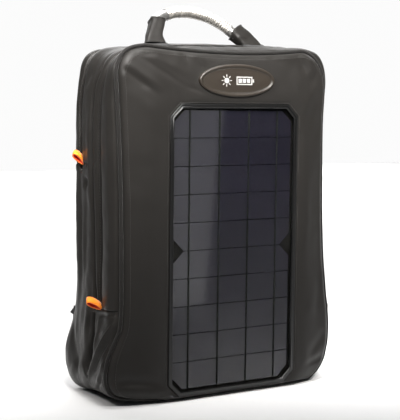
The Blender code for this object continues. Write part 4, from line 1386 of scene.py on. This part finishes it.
def cad_finishes():
    """Every CAD node that still shows gets its own procedural finish."""
    finishes = {"panel_glass": GLASS, "panel_backsheet": BACKSHEET, "panel_board": BOARD,
                "base_board": BOARD, "junction_box": BLACK_PLASTIC, "charge_controller": BLACK_PLASTIC,
                "battery_pack": BATTERY, "panel_lead": CABLE}
    finishes |= {n: CELL for n in nodes if n.startswith("cell_strip")}
    finishes |= {n: RIBBON for n in nodes if n.startswith("busbar")}
    for name, mat in finishes.items():
        for slot in nodes[name].material_slots:
            slot.material = mat
    # The clear cover throws no shadow, so that the lamps reach the cells.
    nodes["panel_glass"].visible_shadow = False


# Stage -------------------------------------------------------------------------------------------

# The camera's place, its turn (yaw, pitch and roll in degrees) and its lens in millimetres.
EYE = (-0.71935, -1.17691, 0.34281)
TURN = (31.31, 5.61, 0.63)
LENS = 100.1
SENSOR = 36


def camera():
    data = bpy.data.cameras.new("camera")
    data.lens = LENS
    data.sensor_width = SENSOR
    ob = link(bpy.data.objects.new("camera", data))
    yaw, pitch, roll = (math.radians(a) for a in TURN)
    ahead = Vector((math.sin(yaw) * math.cos(pitch), math.cos(yaw) * math.cos(pitch), -math.sin(pitch)))
    right = Vector((math.cos(yaw), -math.sin(yaw), 0))
    up = right.cross(ahead)
    right_rolled = right * math.cos(roll) + up * math.sin(roll)
    up_rolled = up * math.cos(roll) - right * math.sin(roll)
    turn = Matrix((right_rolled, up_rolled, -ahead)).transposed()
    ob.matrix_world = Matrix.Translation(EYE) @ turn.to_4x4()
    bpy.context.scene.camera = ob


def plane(name, corners, mat):
    mesh = bpy.data.meshes.new(name)
    mesh.from_pydata(corners, [], [tuple(range(len(corners)))])
    mesh.materials.append(mat)
    ob = link(bpy.data.objects.new(name, mesh))


def area_light(name, place, target, size, power, spread=180, color=(1, 1, 1)):
    data = bpy.data.lights.new(name, "AREA")
    data.shape = "RECTANGLE"
    data.size, data.size_y = size
    data.energy = power
    data.spread = math.radians(spread)
    data.color = color
    ob = link(bpy.data.objects.new(name, data))
    ob.location = place
    ob.rotation_mode = "QUATERNION"
    ob.rotation_quaternion = (Vector(target) - Vector(place)).to_track_quat("-Z", "Y")
    return ob


def stage():
    paper, tree, principled = shader("studio_paper", (0.86, 0.86, 0.86), 0.95, Specular_IOR_Level=0.05)
    tone = mix_colors(tree, noise_node(tree, 8, 2), (0.84, 0.84, 0.84), (0.88, 0.88, 0.88))
    tree.links.new(tone, principled.inputs["Base Color"])
    plane("floor", [(-4, -4, 0), (4.5, -4, 0), (4.5, 3.6, 0), (-4, 3.6, 0)], paper)
    studio_walls()
    bpy.context.scene.view_settings.view_transform = "Standard"
    area_light("top_box", (0.8, 1.9, 2.6), (1.0, 2.0, 0), (3.4, 2.6), 62)
    area_light("far_box", (1.7, 2.7, 1.8), (1.8, 2.8, 0), (4.4, 2.4), 130)
    area_light("upper_strip", (-0.10, -0.58, 0.80), (0.01, -0.07, 0.40), (0.75, 0.25), 3.35, 46,
               (1, 0.98, 0.95))
    area_light("overhead", (0, -0.15, 1.3), (0, -0.02, 0.41), (0.6, 0.4), 1.2, 60)
    area_light("left_strip", (-0.78, -0.36, 0.86), (-0.15, -0.02, 0.38), (0.4, 0.25), 0.75, 44,
               (1, 0.98, 0.96))
    card = area_light("reflector_card", (0.232, -0.6, 0.16), (0.065, -0.07, 0.16), (0.13, 0.36), 0.125)
    roll = Matrix.Rotation(math.radians(-5), 3, "Z").to_quaternion()
    card.rotation_quaternion = card.rotation_quaternion @ roll


def studio_walls():
    """A dim room that looks pale where the camera sees past the floor."""
    world = bpy.data.worlds.new("studio")
    world.use_nodes = True
    tree = world.node_tree
    background = tree.nodes["Background"]
    path = tree.nodes.new("ShaderNodeLightPath")
    level = tree.nodes.new("ShaderNodeMapRange")
    level.inputs["To Min"].default_value = 0.03
    level.inputs["To Max"].default_value = 0.97
    tree.links.new(path.outputs["Is Camera Ray"], level.inputs["Value"])
    tree.links.new(level.outputs["Result"], background.inputs["Strength"])
    background.inputs["Color"].default_value = (1, 1, 1, 1)
    bpy.context.scene.world = world


# Build -------------------------------------------------------------------------------------------

def build():
    rear_edge = body_wall()
    front_wall()
    lower_wall()
    front_face()
    piping()
    bezel()
    badge()
    zips()
    front_hinge = slider("front_zip_slider", "front_slider")
    rear_hinge = slider("rear_zip_slider", "rear_slider")
    pull("front_pull_loop", "front_pull", front_hinge, 19, 3.4, math.radians(27), 8)
    pull("rear_pull_loop", "rear_pull", rear_hinge, 17, 3.2, math.radians(42), 8)
    handle()
    patch("left")
    patch("right")
    back_panel(*rear_edge)
    pads()
    straps()
    soft_sheet("divider_cloth", "divider", "bag_body", 0.6, 2.0)
    soft_sheet("cover_lining_cloth", "cover_lining", "front_cover", 0.3, 5.0)
    inner_pocket()
    cad_finishes()


build()
camera()
stage()
